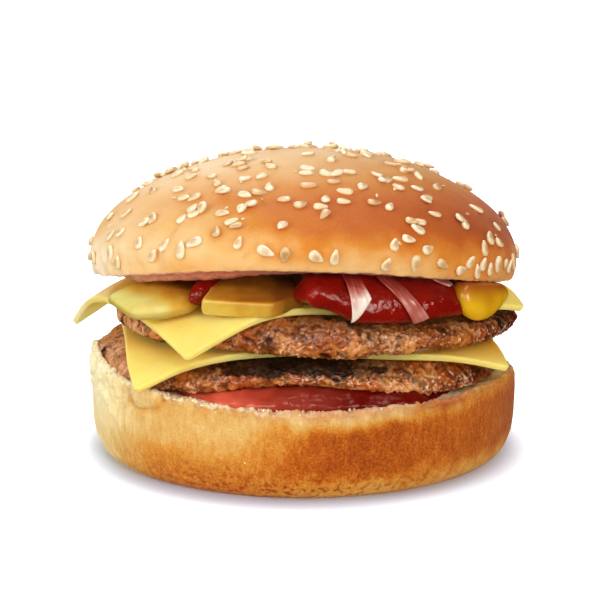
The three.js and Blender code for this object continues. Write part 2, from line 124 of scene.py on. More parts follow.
# Distance in cells to the nearest of points scattered one to a cell, and a number from 0 to 1 that
# belongs to that point.
def scatter(points, size):
    place = points / np.asarray(size, float) + 31.7
    cell = np.floor(place).astype(int)
    nearest = np.full(place.shape[:-1], 9.0)
    number = np.zeros(place.shape[:-1])
    for corner in np.ndindex(3, 3, 3):
        other = cell + corner - 1
        index = latticeNumber(other)
        away = np.linalg.norm(other + jitter[index] - place, axis=-1)
        closer = away < nearest
        number = np.where(closer, index / 255, number)
        nearest = np.where(closer, away, nearest)
    return nearest, number


# Faces of a grid whose second axis runs round and closes: quads between rings, triangles at the poles.
def ringFaces(rings, sides):
    here = np.arange(rings * sides).reshape(rings, sides)
    beside = np.roll(here, -1, axis=1)
    quads = np.stack([here[:-1], beside[:-1], beside[1:], here[1:]], axis=-1).reshape(-1, 4)
    bottom = np.full(sides, rings * sides)
    lowFan = np.stack([bottom, beside[0], here[0]], axis=-1)
    highFan = np.stack([here[-1], beside[-1], bottom + 1], axis=-1)
    return [quads, lowFan, highFan]


# Outward direction on such a grid: the way round crossed with the way up.
def ringNormals(points):
    around = np.roll(points, -1, axis=1) - np.roll(points, 1, axis=1)
    upward = np.gradient(points, axis=0)
    return unit(np.cross(around, upward))


# Angles of a small closed shape's points: from one pole to the other, and round.
def ballAngles(rings, sides):
    along = np.linspace(0, math.pi, rings + 2)[1:-1, None]
    return along, np.arange(sides)[None, :] * 2 * math.pi / sides


# Faces of many small closed shapes whose points, poles last, are stored one shape after the other.
def copiedFaces(count, rings, sides):
    shift = (np.arange(count) * (rings * sides + 2))[:, None, None]
    return [(group[None] + shift).reshape(-1, group.shape[1]) for group in ringFaces(rings, sides)]


# Piece from points in mm and groups of faces with equal corners; values are numbers for its material.
def makePiece(name, points, faces, material, nodes, values={}):
    mesh = bpy.data.meshes.new(name)
    corners = np.concatenate([group.ravel() for group in faces]).astype(np.int32)
    sizes = np.concatenate([np.full(len(group), group.shape[1]) for group in faces])
    starts = np.concatenate([[0], np.cumsum(sizes)[:-1]]).astype(np.int32)
    mesh.vertices.add(len(points))
    mesh.vertices.foreach_set("co", (points * mm).astype(np.float32).ravel())
    mesh.loops.add(len(corners))
    mesh.loops.foreach_set("vertex_index", corners)
    mesh.polygons.add(len(sizes))
    mesh.polygons.foreach_set("loop_start", starts)
    mesh.polygons.foreach_set("use_smooth", np.ones(len(sizes), bool))
    mesh.update(calc_edges=True)
    mesh.validate()
    for key, value in values.items():
        layer = mesh.attributes.new(key, "FLOAT", "POINT")
        layer.data.foreach_set("value", np.asarray(value, np.float32).ravel())
    mesh.materials.append(material)
    piece = bpy.data.objects.new(name, mesh)
    bpy.context.scene.collection.objects.link(piece)
    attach(piece, "root")
    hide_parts(*nodes)
    print(f"{name}: {len(points)} points, {int((sizes - 2).sum())} triangles")
    return piece


# Closed piece from rings (ring, side, xyz), with a point at each pole.
def makeRinged(name, points, material, nodes, values={}):
    rings, sides = points.shape[:2]
    flat = np.concatenate([points.reshape(-1, 3), points[0].mean(0)[None], points[-1].mean(0)[None]])
    withPoles = {}
    for key, value in values.items():
        withPoles[key] = np.concatenate([value.ravel(), [value[0].mean()], [value[-1].mean()]])
    return makePiece(name, flat, ringFaces(rings, sides), material, nodes, withPoles)


# sRGB hex to linear: v / 12.92 for dark values, and ((v + 0.055) / 1.055)^2.4 for the others.
def linear(colour):
    value = np.array([int(colour[i:i + 2], 16) / 255 for i in (1, 3, 5)])
    value = np.where(value <= 0.04045, value / 12.92, ((value + 0.055) / 1.055) ** 2.4)
    return (*value.tolist(), 1.0)


def makeMaterial(name):
    material = bpy.data.materials.new(name)
    material.use_nodes = True
    material.node_tree.nodes.clear()
    return material


usualOutput = {"TexCoord": "Object", "Attribute": "Fac", "Mix": 2}  # where it isn't a node's first output
blended = {"data_type": "RGBA"}
multiplied = {"data_type": "RGBA", "blend_type": "MULTIPLY"}


# Adds a node and gives its output: settings are its properties or socket values, links join its sockets
# to the outputs of other nodes, and stops fill a colour ramp.
def addNode(material, kind, settings={}, links={}, stops=(), output=None):
    node = material.node_tree.nodes.new("ShaderNode" + kind)
    for key, value in settings.items():
        if isinstance(key, str) and hasattr(node, key):
            setattr(node, key, value)
    for key, value in settings.items():
        if not (isinstance(key, str) and hasattr(node, key)):
            node.inputs[key].default_value = value
    for key, source in links.items():
        material.node_tree.links.new(source, node.inputs[key])
    for i, (place, colour) in enumerate(stops):
        ramp = node.color_ramp.elements
        stop = ramp[i] if i < 2 else ramp.new(place)
        stop.position = place
        stop.color = linear(colour) if isinstance(colour, str) else (colour, colour, colour, 1)
    if node.outputs:
        return node.outputs[usualOutput.get(kind, 0) if output is None else output]


def perMetre(size):
    return 1 / (size * mm)  # noise scale whose pattern repeats about every size mm


bread = {
    "poreSize": 1.1, "poreDepth": 0.6, "torn": 0.75, "tornRoughness": 0.3,
    "spotSize": 1.2, "spotDepth": 0.25, "spotStrength": 0.6, "spotTint": "#D49C5C",
    "wrinkleDepth": 0.3, "grainDepth": 0.15,
}


# Baked wheat crust with an egg wash: a thin, satin, slightly translucent skin, cream where the dough
# stayed covered and red-brown where the oven reached it. The baking attribute gives how far it is baked,
# with painted light and shade mixed into it on both buns; crumb gives where the bread is cut or torn,
# stain where sauce soaked in, and pitted where the tin left small pits.
def bakedCrust(name, values):
    material = makeMaterial(name)
    place = addNode(material, "TexCoord")
    toast, crumb, stain, pitted = [addNode(material, "Attribute", {"attribute_name": key})
                                   for key in ("toast", "crumb", "stain", "pitted")]
    stretched = addNode(material, "Mapping", {"Scale": (1, 1, values["wrinkleStretch"])}, {"Vector": place})
    cloud, speck, wrinkles, pores, spots = [
        addNode(material, "TexNoise", {"Scale": perMetre(size), "Detail": detail}, {"Vector": vector})
        for size, detail, vector in ((values["cloudSize"], 3, place), (values["speckSize"], 2, place),
                                     (values["wrinkleSize"], 3, stretched), (bread["poreSize"], 4, place),
                                     (bread["spotSize"], 1, place))]
    spots = addNode(material, "MapRange", {"From Min": 0.5, "From Max": 0.64}, {"Value": spots})
    spots = addNode(material, "Math", {"operation": "MULTIPLY"}, {0: spots, 1: pitted})

    shade = toast
    for pattern, strength in ((cloud, "cloud"), (speck, "speck"), (wrinkles, "streak")):
        most = values[strength]
        even = addNode(material, "Math", {"operation": "MULTIPLY_ADD", 1: most, 2: -most / 2}, {0: pattern})
        if strength == "speck":  # specks are baked in, so they fade with the baking
            even = addNode(material, "Math", {"operation": "MULTIPLY"}, {0: even, 1: toast})
        shade = addNode(material, "Math", {"operation": "ADD"}, {0: even, 1: shade})
    crust = addNode(material, "ValToRGB", {}, {"Fac": shade}, values["baking"])
    crust = addNode(material, "Mix", {**multiplied, 7: linear(bread["spotTint"])}, {0: spots, 6: crust})
    soft = addNode(material, "ValToRGB", {}, {"Fac": pores}, values["bread"])
    bare = addNode(material, "Mix", blended, {0: crumb, 6: crust, 7: soft})
    stained = addNode(material, "Mix", {**multiplied, 7: linear(values["stainTint"])}, {0: stain, 6: bare})

    skin = addNode(material, "Bump", {"Strength": values["wrinkle"], "Distance": bread["wrinkleDepth"] * mm},
                   {"Height": wrinkles})
    grain = addNode(material, "Bump", {"Strength": values["grain"], "Distance": bread["grainDepth"] * mm},
                    {"Height": speck, "Normal": skin})
    torn = addNode(material, "Math", {"operation": "MULTIPLY_ADD", 1: bread["torn"], 2: 0.02}, {0: crumb})
    ragged = addNode(material, "Bump", {"Distance": bread["poreDepth"] * mm},
                     {"Height": pores, "Normal": grain, "Strength": torn})
    pitting = {"Strength": bread["spotStrength"], "Distance": -bread["spotDepth"] * mm}
    ragged = addNode(material, "Bump", pitting, {"Height": spots, "Normal": ragged})
    duller = {"operation": "MULTIPLY_ADD", 1: bread["tornRoughness"], 2: values["roughness"]}
    dull = addNode(material, "Math", duller, {0: crumb})
    surface = addNode(material, "BsdfPrincipled",
                      {"IOR": 1.42, "Specular IOR Level": values["gloss"],
                       "Subsurface Weight": values["depth"], "Subsurface Radius": (1.0, 0.45, 0.2),
                       "Subsurface Scale": 2 * mm,
                       "Sheen Weight": values["bloom"], "Sheen Roughness": 0.5},
                      {"Base Color": stained, "Roughness": dull, "Normal": ragged})
    addNode(material, "OutputMaterial", {}, {"Surface": surface})
    return material


# Heights of the stack, by the same rules as the solids follow. Here and in the pieces' own values a group
# of three is a bump (azimuth, width, rise), and layers of noise are pairs (strength, size).
stack = {
    "gap": 0.3, "slice": 1.5,
    "faceHeight": 20.9, "faceRadius": 44, "heelRadius": 50.6, "rimHeight": 22.7,
    "rimBumps": [(0, 38, -2.0), (-80, 19, 2.8), (88, 24, -2.9)],
    "edgeRadius": 44, "edgePower": 1.3,
    "lowerBottom": 22.6, "lowerLifts": [(-3, 26, 2.2), (82, 34, -0.7)], "lowerThickness": 5.6,
    "upperThickness": 6.6, "upperLift": (-5, 40, 1.0),
    "upperSag": 0.35, "upperFrontSag": (0, 24, 1.1), "sagReach": (40.5, 46),
    "crownRadius": 50.2, "crownRest": 40.5, "crownRoll": -0.014, "crownArch": 1.6,
    "crownProp": 10.9, "propStart": 25, "propSpan": 75, "propPower": 2.3,
}


# The lower bun's rim: its height plus bumps round it.
def heelRim(azimuth):
    return stack["rimHeight"] + bumps(azimuth, *stack["rimBumps"])


# The lower bun's cut face: flat in the middle, and rising to the rim by the smooth step of r.
def heelFace(x, y):
    share = smoothstep(np.hypot(x, y), stack["faceRadius"], stack["heelRadius"])
    return lerp(stack["faceHeight"], heelRim(azimuthOf(x, y)), share)


# Bumps that grow from the middle to the edge with (r / R)^1.3.
def edgeRise(x, y, *several):
    share = np.minimum(1, np.hypot(x, y) / stack["edgeRadius"])
    return bumps(azimuthOf(x, y), *several) * share ** stack["edgePower"]


# The layers above follow one another: each height is the one below plus a thickness and a gap.
def lowerPattyBottom(x, y):
    return stack["lowerBottom"] + edgeRise(x, y, *stack["lowerLifts"])


def lowerPattyTop(x, y):
    return lowerPattyBottom(x, y) + stack["lowerThickness"]


def upperPattySeat(x, y):
    return lowerPattyTop(x, y) + stack["slice"] + 2 * stack["gap"]


def upperPattyBottom(x, y):
    sag = stack["upperSag"] + bumps(azimuthOf(x, y), stack["upperFrontSag"])
    return upperPattySeat(x, y) - sag * smoothstep(np.hypot(x, y), *stack["sagReach"])


def upperPattyTop(x, y):
    return upperPattySeat(x, y) + stack["upperThickness"] + edgeRise(x, y, stack["upperLift"])


def upperCheeseTop(x, y):
    return upperPattyTop(x, y) + stack["slice"] + stack["gap"]


# Height of the upper bun's rim: it rests at the back, is propped up by share^2.3 of the way to the
# front, and rolls a little to the side.
def crownRim(x, y):
    share = np.maximum(0, (stack["propStart"] - y) / stack["propSpan"])
    return stack["crownRest"] + stack["crownProp"] * share ** stack["propPower"] + stack["crownRoll"] * x


# The upper bun's cut face: its rim plus an arch 1 - (r / R)^2.
def crownUnderside(x, y):
    share = np.minimum(1, np.hypot(x, y) / stack["crownRadius"])
    return crownRim(x, y) + stack["crownArch"] * (1 - share ** 2)


def anglesRound(sides):
    return np.arange(sides) * 360 / sides


crown = {
    "height": 29.4, "belly": 5.2, "tuck": 1.2, "planPower": 2.05, "heightPower": 1.8,
    "sides": 540, "crustRings": 102, "tuckRings": 18, "middleRings": 12, "undersideRings": 38,
    "swells": [(0.3, 17), (0.12, 6)], "rimGrain": (0.3, 1.7), "lump": (-62, 26, 0.6), "lumpSize": 4.5,
    "creases": [
        {"bumps": [(-39, 2.4, -0.9), (-35.5, 2.2, 0.4)], "lean": 0.25, "middle": 8,
         "starts": (0, 3), "ends": (9, 17)},
        {"bumps": [(-11, 1.4, -0.8), (-8.5, 1.4, 0.25)], "lean": 0.7, "middle": 6,
         "starts": (1, 3), "ends": (6, 9)},
    ],
    "shreds": [(0.28, 1.5), (0.14, 4), (0.14, 0.9)],
    "sag": 1.3, "sagFrom": (-61, -50), "sagTo": (-30, -2), "sagReach": (34, 44), "sagEnds": (47.2, 48.9),
    "bareFrom": (0.86, 0.66), "bareBlend": 0.14,
    "rimToast": 0.34, "shoulderToast": 0.76, "topPaintedSheen": 0.34, "toastDrift": (0.04, 20),
    "toastWander": [(0.08, 9), (0.045, 3.5)],
    "sideToastAndRimLight": [(-80, 48, -0.34), (66, 48, 0.16)], "lowToast": [(20, 13, -0.04), (-40, 30, 0.2)],
    "paleFront": [(-38, 34, -0.16), (-64, 14, -0.07), (-25, 11, -0.11)],
    "aboveRim": [(-4, 12, 0.1), (-52, 9, 0.1)],
    "seedPaintedShadow": 0.13, "seedReach": 1.7, "stain": 0.3, "stainAt": (-10, 70, 0.7), "stainReach": (20, 46),
}


# Crust: an ellipse-like arc r = R cos^(2/2.05), h = belly + (H - belly) sin^(2/1.8) above the widest
# ring, and a quarter ellipse below it; the bend of the rim fades out towards the top.
def crustPoint(azimuth, rise):
    angle = rise * math.pi / 2
    above = rise >= 0
    cos = np.maximum(np.cos(angle), 0)
    sin = np.sin(angle)
    radius = np.where(above, stack["crownRadius"] * cos ** (2 / crown["planPower"]),
                      stack["crownRadius"] - crown["tuck"] * (1 - cos))
    dome = crown["belly"] + (crown["height"] - crown["belly"]) * np.abs(sin) ** (2 / crown["heightPower"])
    height = np.where(above, dome, crown["belly"] * (1 + sin))
    x, y = polar(azimuth, radius)
    middle = crownRim(0.0, 0.0)
    lift = (crownRim(x, y) - middle) * (1 - height / crown["height"])
    return np.stack([x, y, middle + lift + height], axis=-1)


# How far the crust stands out from its arc: broad swells and dimples, and creases where the dough
# folded as it proved, which lean to the side as they rise.
def crustSwell(points):
    azimuth = azimuthAt(points)
    height = points[..., 2] - crownRim(points[..., 0], points[..., 1])
    grain = rough(points, crown["rimGrain"]) * (1 - smoothstep(height, 0.2, 2.2))
    lump = bumps(azimuth, crown["lump"]) * layeredNoise(points, crown["lumpSize"])
    swell = rough(points, *crown["swells"]) + grain + lump * (1 - smoothstep(height, 3, 10))
    for crease in crown["creases"]:
        fold = bumps(azimuth - crease["lean"] * (height - crease["middle"]), *crease["bumps"])
        fold = fold * smoothstep(height, *crease["starts"]) * (1 - smoothstep(height, *crease["ends"]))
        swell = swell + fold
    return swell


# Share of the front left where sauce soaked the cut face, 0 to 1.
def soakedFront(azimuth):
    return smoothstep(azimuth, *crown["sagFrom"]) * (1 - smoothstep(azimuth, *crown["sagTo"]))


# The cut face hangs a little below the rim where sauce soaked it.
def cutSag(x, y):
    reach = np.hypot(x, y)
    lip = smoothstep(reach, *crown["sagReach"]) * (1 - smoothstep(reach, *crown["sagEnds"]))
    return crown["sag"] * lip * soakedFront(azimuthOf(x, y))


# Painted shadow on the crust round the seeds that stick to it: e^-(d/1.7)^2 of the distance to the nearest.
def nearSeeds(points):
    nearest = np.full(points.shape[:-1], 99.0)
    for seed in placeSeeds():
        nearest = np.minimum(nearest, np.linalg.norm(points - seed[0], axis=-1))
    return np.exp(-(nearest / crown["seedReach"]) ** 2)


# How far the crown is baked, with painted light and shade mixed in: most on the shoulder, less at the rim,
# paler on top as a painted sheen, less at the left than at the right and palest at the far left, partly as a
# painted rim light, with a pale stretch over the front left, darker patches just above the rim, and painted
# shadow round the seeds.
def crownToast(points):
    azimuth = azimuthAt(points)
    height = (points[..., 2] - crownRim(points[..., 0], points[..., 1])) / crown["height"]
    shoulder = smoothstep(height + rough(points, *crown["toastWander"]), 0.0, 0.4)
    baked = lerp(crown["rimToast"], crown["shoulderToast"], shoulder)
    baked = baked - crown["topPaintedSheen"] * smoothstep(height, 0.45, 0.95)
    paler = smoothstep(height, 0, 0.2) * (1 - smoothstep(height, 0.4, 0.62))
    darker = smoothstep(height, 0.02, 0.1) * (1 - smoothstep(height, 0.14, 0.26))
    side = bumps(azimuth, *crown["sideToastAndRimLight"]) + bumps(azimuth, *crown["lowToast"]) * (1 - shoulder)
    side = side + bumps(azimuth, *crown["paleFront"]) * paler
    side = side + bumps(azimuth, *crown["aboveRim"]) * darker
    top = smoothstep(height, 0.88, 0.99)
    toast = baked + side * lerp(1, 0.5, smoothstep(height, 0.5, 1)) * (1 - top) - 0.04 * top
    return toast + rough(points, crown["toastDrift"]) + crown["seedPaintedShadow"] * nearSeeds(points)


# Rings run from the middle of the cut face out to the tucked rim, and up over the crust to the top.
def makeCrown():
    azimuth = anglesRound(crown["sides"])[None, :]
    share = np.concatenate([np.linspace(0.02, 0.86, crown["middleRings"], endpoint=False),
                            np.linspace(0.86, 0.985, crown["undersideRings"])])[:, None]
    x, y = polar(azimuth, share * (stack["crownRadius"] - crown["tuck"]))
    underside = joined(x, y, crownUnderside(x, y) - cutSag(x, y))
    rise = np.concatenate([np.linspace(-0.97, 0, crown["tuckRings"], endpoint=False),
                           np.linspace(0, 0.985, crown["crustRings"])])[:, None]
    points = np.concatenate([underside, crustPoint(azimuth + 0 * rise, rise + 0 * azimuth)])
    bare = lerp(*crown["bareFrom"], soakedFront((azimuth + 180) % 360 - 180))
    isCrumb = np.concatenate([np.ones_like(x), smoothstep(-rise, bare, bare + crown["bareBlend"])])
    relief = isCrumb * rough(points, *crown["shreds"]) + (1 - isCrumb) * crustSwell(points)
    points = points + ringNormals(points) * relief[..., None]

    # The cut face is tinted mauve-pink: partly ketchup soaked in, partly painted red light thrown back from
    # the ketchup into its shade.
    outer = smoothstep(reachAt(points), *crown["stainReach"])
    soaked = outer * bumps(azimuthAt(points), crown["stainAt"])
    return makeRinged("bun_crown", points, crustOfCrown, ["bun_top"],
                      {"toast": crownToast(points), "crumb": isCrumb,
                       "stain": isCrumb * np.clip(crown["stain"] + soaked, 0, 1)})


crustOfCrown = bakedCrust("egg-washed bun crust", {
    "cloudSize": 9, "cloud": 0.16, "speckSize": 0.55, "speck": 0.2, "streak": 0.0,
    "baking": [(0.0, "#F9E7C8"), (0.2, "#F0D2A2"), (0.4, "#E4B06C"),
               (0.6, "#D58530"), (0.8, "#C2601C"), (1.0, "#A04410")],
    "bread": [(0.35, "#E9CF9C"), (0.65, "#F9EFD3")],
    "stainTint": "#C8786C", "wrinkleSize": 3.0, "wrinkleStretch": 0.5, "wrinkle": 0.12, "grain": 0.1,
    "roughness": 0.45, "gloss": 0.02, "depth": 0.08, "bloom": 0.12,
})


seeds = {
    "count": 184, "length": 3.6, "width": 2.15, "thickness": 1.2, "above": 0.3, "spacing": 3.1,
    "sides": 10, "rings": 6, "start": 5, "draws": 3, "askew": (0.3, 0.2, 0.93), "tilt": 0.1, "lowest": 0.14,
    "sizes": (0.84, 1.1), "heights": (-0.3, 0.998), "onSide": 0.45, "everywhere": 0.28, "onTop": 0.72,
    "lowRight": (62, 34, 0.75), "handSize": 0.92, "handSpacing": 0.8,
    "leaning": {"count": 44, "away": (1.7, 2.5), "lean": 0.45, "above": 0.75, "size": 0.92},
    "scraps": {"count": 34, "away": (2.5, 5.5), "lean": 0.3, "above": 0.1, "size": 0.32},
    # listed one by one: azimuth, rise from the widest ring (0) to the top (1), and turn
    "more": [(2.5, -0.3, 80), (7.5, -0.07, 100), (20.5, -0.27, 85), (26.5, -0.34, 50), (37, 0, 30),
             (43, -0.33, 25), (52, 0.085, 150), (56, 0.1, 88), (63, 0.11, 100), (52, -0.095, 85),
             (55.5, -0.25, 110), (60, -0.09, 80), (64, -0.34, 95), (68.5, -0.175, 90), (70.5, 0.035, 100),
             (23, 0.12, 85), (29.5, 0.055, 20), (46.5, -0.04, 70), (49.5, -0.34, 120), (59, -0.37, 60),
             (-37, 0.325, 95), (-25, 0.365, 100), (-20, 0.3, 60), (-23, 0.215, 120), (-37.5, 0.11, 70),
             (-41.5, 0.015, 60), (-46.5, 0.12, 110), (-58.5, 0.08, 80), (-65, 0.315, 60),
             (-44.5, 0.465, 20), (-63.5, 0.165, 60), (-58, 0.19, 50)],
}


# Chance that a place keeps its seed: most on top and low at the right.
def seedCover(azimuth, rise):
    onTop = seeds["onTop"] * smoothstep(rise, 0.3, 0.75)
    lowRight = bumps(azimuth, seeds["lowRight"]) * (1 - smoothstep(rise, 0.1, 0.45))
    return np.clip(seeds["everywhere"] + onTop + lowRight, 0, 1)


# Outward direction on the crust: a small step round crossed with a small step up.
def crustNormal(azimuth, rise):
    here = crustPoint(azimuth, rise)
    upward = crustPoint(azimuth, np.minimum(rise + 0.01, 0.999)) - here
    return unit(np.cross(crustPoint(azimuth + 0.9, rise) - here, upward))


# The same draws as the solid's seeds: azimuth, height, turn, size, and whether the place keeps it.
def placeSeeds():
    state, modulus = seeds["start"], 2147483647
    placed = []
    while len(placed) < seeds["count"]:
        draws = []
        for _ in range(5):
            state = state * 16807 % modulus
            draws.append(state / modulus)
        azimuth = draws[0] * 360 - 180
        angle = math.asin(lerp(*seeds["heights"], draws[1]))
        rise = 2 * angle / math.pi
        flatness = math.hypot(math.sin(angle), seeds["onSide"] * math.cos(angle))
        if draws[4] > seedCover(azimuth, rise) * flatness:
            continue
        point = crustPoint(azimuth, rise)
        if any(np.linalg.norm(point - other[0]) < seeds["spacing"] for other in placed):
            continue
        placed.append((point, azimuth, rise, draws[2] * 2 * math.pi, lerp(*seeds["sizes"], draws[3])))
    for azimuth, rise, turn in seeds["more"]:
        point = crustPoint(azimuth, rise)
        spacing = seeds["handSpacing"] * seeds["spacing"]
        if not any(np.linalg.norm(point - other[0]) < spacing for other in placed):
            placed.append((point, azimuth, rise, math.radians(turn - 90), seeds["handSize"]))
    return placed


# One seed: a drop, half width w sin(t)^0.95 (1 - 0.42 cos t) along its length, with a lens section.
def seedShape():
    t, around = ballAngles(seeds["rings"], seeds["sides"])
    half = seeds["width"] / 2 * np.sin(t) ** 0.95 * (1 - 0.42 * np.cos(t))
    level = seeds["thickness"] / 2 * np.sin(t) ** 0.7 * np.sin(around) * (1 - 0.15 * np.cos(t))
    body = joined(seeds["length"] / 2 * np.cos(t), half * np.cos(around), level)
    tip = seeds["length"] / 2
    return np.concatenate([body.reshape(-1, 3), [[tip, 0, 0]], [[-tip, 0, 0]]])


# The placed seeds, then some that lean on a neighbour, then small broken scraps.
def makeSeeds():
    point, azimuth, rise, turn, size = [np.array(column) for column in zip(*placeSeeds())]
    draw = np.random.default_rng(seeds["draws"])
    normal = crustNormal(azimuth, rise)
    point = point + normal * crustSwell(point)[:, None]
    lean = draw.normal(0, seeds["tilt"], len(point))
    lift = np.full(len(point), seeds["above"])
    high = np.flatnonzero(rise > seeds["lowest"])
    for loose in (seeds["leaning"], seeds["scraps"]):
        count = loose["count"]
        beside = high[draw.integers(0, len(high), count)]
        away = draw.uniform(0, 2 * math.pi, count)
        sideways = unit(np.cross(normal[beside], seeds["askew"]))
        step = np.cos(away)[:, None] * sideways + np.sin(away)[:, None] * np.cross(normal[beside], sideways)
        point = np.concatenate([point, point[beside] + step * draw.uniform(*loose["away"], (count, 1))])
        normal = np.concatenate([normal, normal[beside]])
        turn = np.concatenate([turn, draw.uniform(0, 2 * math.pi, count)])
        size = np.concatenate([size, loose["size"] * draw.uniform(0.85, 1.1, count)])
        lean = np.concatenate([lean, draw.uniform(-loose["lean"], loose["lean"], count)])
        lift = np.concatenate([lift, np.full(count, loose["above"])])
    sideways = unit(np.cross(normal, seeds["askew"]))
    nose = np.cos(turn)[:, None] * np.cross(sideways, normal) + np.sin(turn)[:, None] * sideways
    nose = unit(nose + normal * lean[:, None])
    flank = unit(np.cross(normal, nose))
    axes = np.stack([nose, flank, np.cross(nose, flank)], axis=1)
    local = seedShape()
    # Painted shade of a dimple: darker in the middle of the upper face.
    inset = smoothstep(1 - np.hypot(local[:, 0] / 1.35, local[:, 1] / 0.8), 0, 0.6) * (local[:, 2] > 0)
    shape = local[None] * size[:, None, None] * draw.uniform(0.92, 1.08, (len(point), 1, 3))
    world = (point + normal * lift[:, None])[:, None] + shape @ axes
    faces = [group[:, ::-1] for group in copiedFaces(len(point), seeds["rings"], seeds["sides"])]
    shade = np.repeat(draw.random(len(point)), len(local))
    return makePiece("sesame_seeds", world.reshape(-1, 3), faces, sesame, ["bun_top"],
                     {"shade": shade, "inset": np.tile(inset, len(point))})


# Hulled sesame: an oily, waxy, slightly translucent seed, ivory with a darker middle that is painted
# shade of a dimple, and browner where it was toasted.
sesame = makeMaterial("hulled sesame")
place = addNode(sesame, "TexCoord")
shade = addNode(sesame, "Attribute", {"attribute_name": "shade"})
inset = addNode(sesame, "Attribute", {"attribute_name": "inset"})
grain = addNode(sesame, "TexNoise", {"Scale": perMetre(1.2), "Detail": 2}, {"Vector": place})
mottled = addNode(sesame, "Math", {"operation": "MULTIPLY_ADD", 1: 0.3}, {0: grain, 2: shade})
tint = addNode(sesame, "ValToRGB", {}, {"Fac": mottled},
               [(0.3, "#F0DFBC"), (0.9, "#E5CA9A"), (1.0, "#D4AE7A")])
tint = addNode(sesame, "Mix", {**multiplied, 7: linear("#E0C6AA")}, {0: inset, 6: tint})
relief = addNode(sesame, "Bump", {"Strength": 0.2, "Distance": 0.2 * mm}, {"Height": grain})
surface = addNode(sesame, "BsdfPrincipled",
                  {"Roughness": 0.38, "IOR": 1.47, "Subsurface Weight": 0.2,
                   "Subsurface Radius": (1.0, 0.7, 0.4), "Subsurface Scale": 1.0 * mm},
                  {"Base Color": tint, "Normal": relief})
addNode(sesame, "OutputMaterial", {}, {"Surface": surface})
makeSeeds()
makeCrown()


heel = {
    "baseRadius": 44, "cornerHeight": 11.5, "cornerPower": 2.5, "lip": 1.3, "lipDrop": 0.15, "faceDrop": 0.2,
    "sides": 700, "underRings": 6, "cornerRings": 45, "wallRings": 45, "lipRings": 13,
    "faceRings": 19, "faceEnd": 42, "middleRings": 4,
    "rimRagged": [(0.3, 1.7), (0.3, 5), (0.22, 0.9)], "fallen": [(113, 19, 2.8), (41, 12, 1.3)],
    "swells": [(0.3, 18), (0.1, (2.6, 2.6, 2.6 / 0.45))], "fineSize": (1.4, 1.4, 4.0), "fine": (0.3, 0.1),
    "crushed": (-75, 22, 1), "foldSize": 2.8, "foldSquash": 0.7, "folds": 1.5, "foldGrain": (0.3, 1.1),
    "shoulder": (62, 34, 1), "ridges": (0.35, (2.4, 2.4, 5)),
    "flapAt": (-44.5, 21.6), "flapSize": (6.6, 4.6), "flapTilt": 0.12, "flapRise": 0.9, "creaseDepth": 0.6,
    "tornEdge": [(-12, 30, 1.0), (-76, 22, 1.6), (55, 30, 0.25)],
    "tearing": [(0.6, (1.7, 1.7, 7)), (0.5, (0.8, 0.8, 3))],
    "shreds": [(0.3, 1.4), (0.26, 3), (0.16, 0.8)], "skinned": (68, 30, 1),
    "soaked": [(8, 28, 0.75), (40, 10, 0.9)], "soakDepth": (0.8, 3.2),
    "faceStain": 0.6, "cleanFace": (80, 34, 0.6),
    "pitted": (-4, 46, 1), "faceToastAndLight": 0.42, "creasePaintedShade": 0.11, "flapPaler": 0.06,
    "leftToast": 0.17, "leftTop": -0.1, "leftFoot": 0.2, "towardFront": 0.37, "crushedPaintedLight": (-78, 20, 0.1),
    "rightToast": (0.26, 0.6), "bandToast": (0.92, 0.86), "bandFoot": 0.56, "bandTop": (18.0, 20.1),
}


# Profile: flat underside, rounded corner r = base + (R - base)(1 - (1-h)^n)^(1/n), upright wall, lip
# turned in over a quarter ellipse, and the cut face.
def heelProfile():
    azimuth = anglesRound(heel["sides"])[None, :]
    radius, base, corner = stack["heelRadius"], heel["baseRadius"], heel["cornerHeight"]
    fallen = bumps(azimuth, *heel["fallen"])
    rim = heelRim(azimuth) + rough(joined(*polar(azimuth, radius), 0.0), *heel["rimRagged"]) - fallen
    under = np.linspace(0.03, 1, heel["underRings"])[:, None]
    flat = joined(*polar(azimuth, under * base), 0.0)
    share = np.linspace(0.0, 1, heel["cornerRings"] + 1)[1:, None] ** 1.6
    bulge = (1 - (1 - share) ** heel["cornerPower"]) ** (1 / heel["cornerPower"])
    bend = joined(*polar(azimuth, lerp(base, radius, bulge)), share * corner)
    rise = np.linspace(0, 1, heel["wallRings"] + 1)[1:, None]
    wall = joined(*polar(azimuth, radius + 0 * rise), lerp(corner, rim - heel["lip"], rise))
    turn = np.radians(np.linspace(0, 90, heel["lipRings"] + 1)[1:, None])
    over = rim - heel["lip"] * (1 - np.sin(turn)) - heel["lipDrop"]
    lip = joined(*polar(azimuth, radius - heel["lip"] * (1 - np.cos(turn))), over)
    inward = np.concatenate([np.linspace(radius - heel["lip"], heel["faceEnd"], heel["faceRings"] + 1)[1:],
                             np.linspace(heel["faceEnd"], 1, heel["middleRings"] + 1)[1:]])[:, None]
    x, y = polar(azimuth, inward)
    face = joined(x, y, heelFace(x, y) - heel["faceDrop"] - fallen * smoothstep(inward, 43, 49))
    points = np.concatenate([flat, bend, wall, lip, face])
    onFace = (np.arange(len(points)) >= len(points) - len(face))[:, None] + 0 * azimuth
    return points, onFace, rim


# The flap of dough: distance from its middle in sizes of the flap, 1 along its crease, and how strong
# the crease is there, e^-((d - 1) / 0.12)^2 on its lower half.
def flapOf(points):
    azimuth, height = azimuthAt(points), points[..., 2]
    across = (azimuth - heel["flapAt"][0]) * math.radians(stack["heelRadius"])
    up = height - heel["flapAt"][1] - heel["flapTilt"] * across
    away = np.hypot(across / heel["flapSize"][0], up / heel["flapSize"][1]) + 0.1 * noise(points, 4)
    return away, np.exp(-((away - 1) / 0.12) ** 2) * smoothstep(-up, -1, 2)


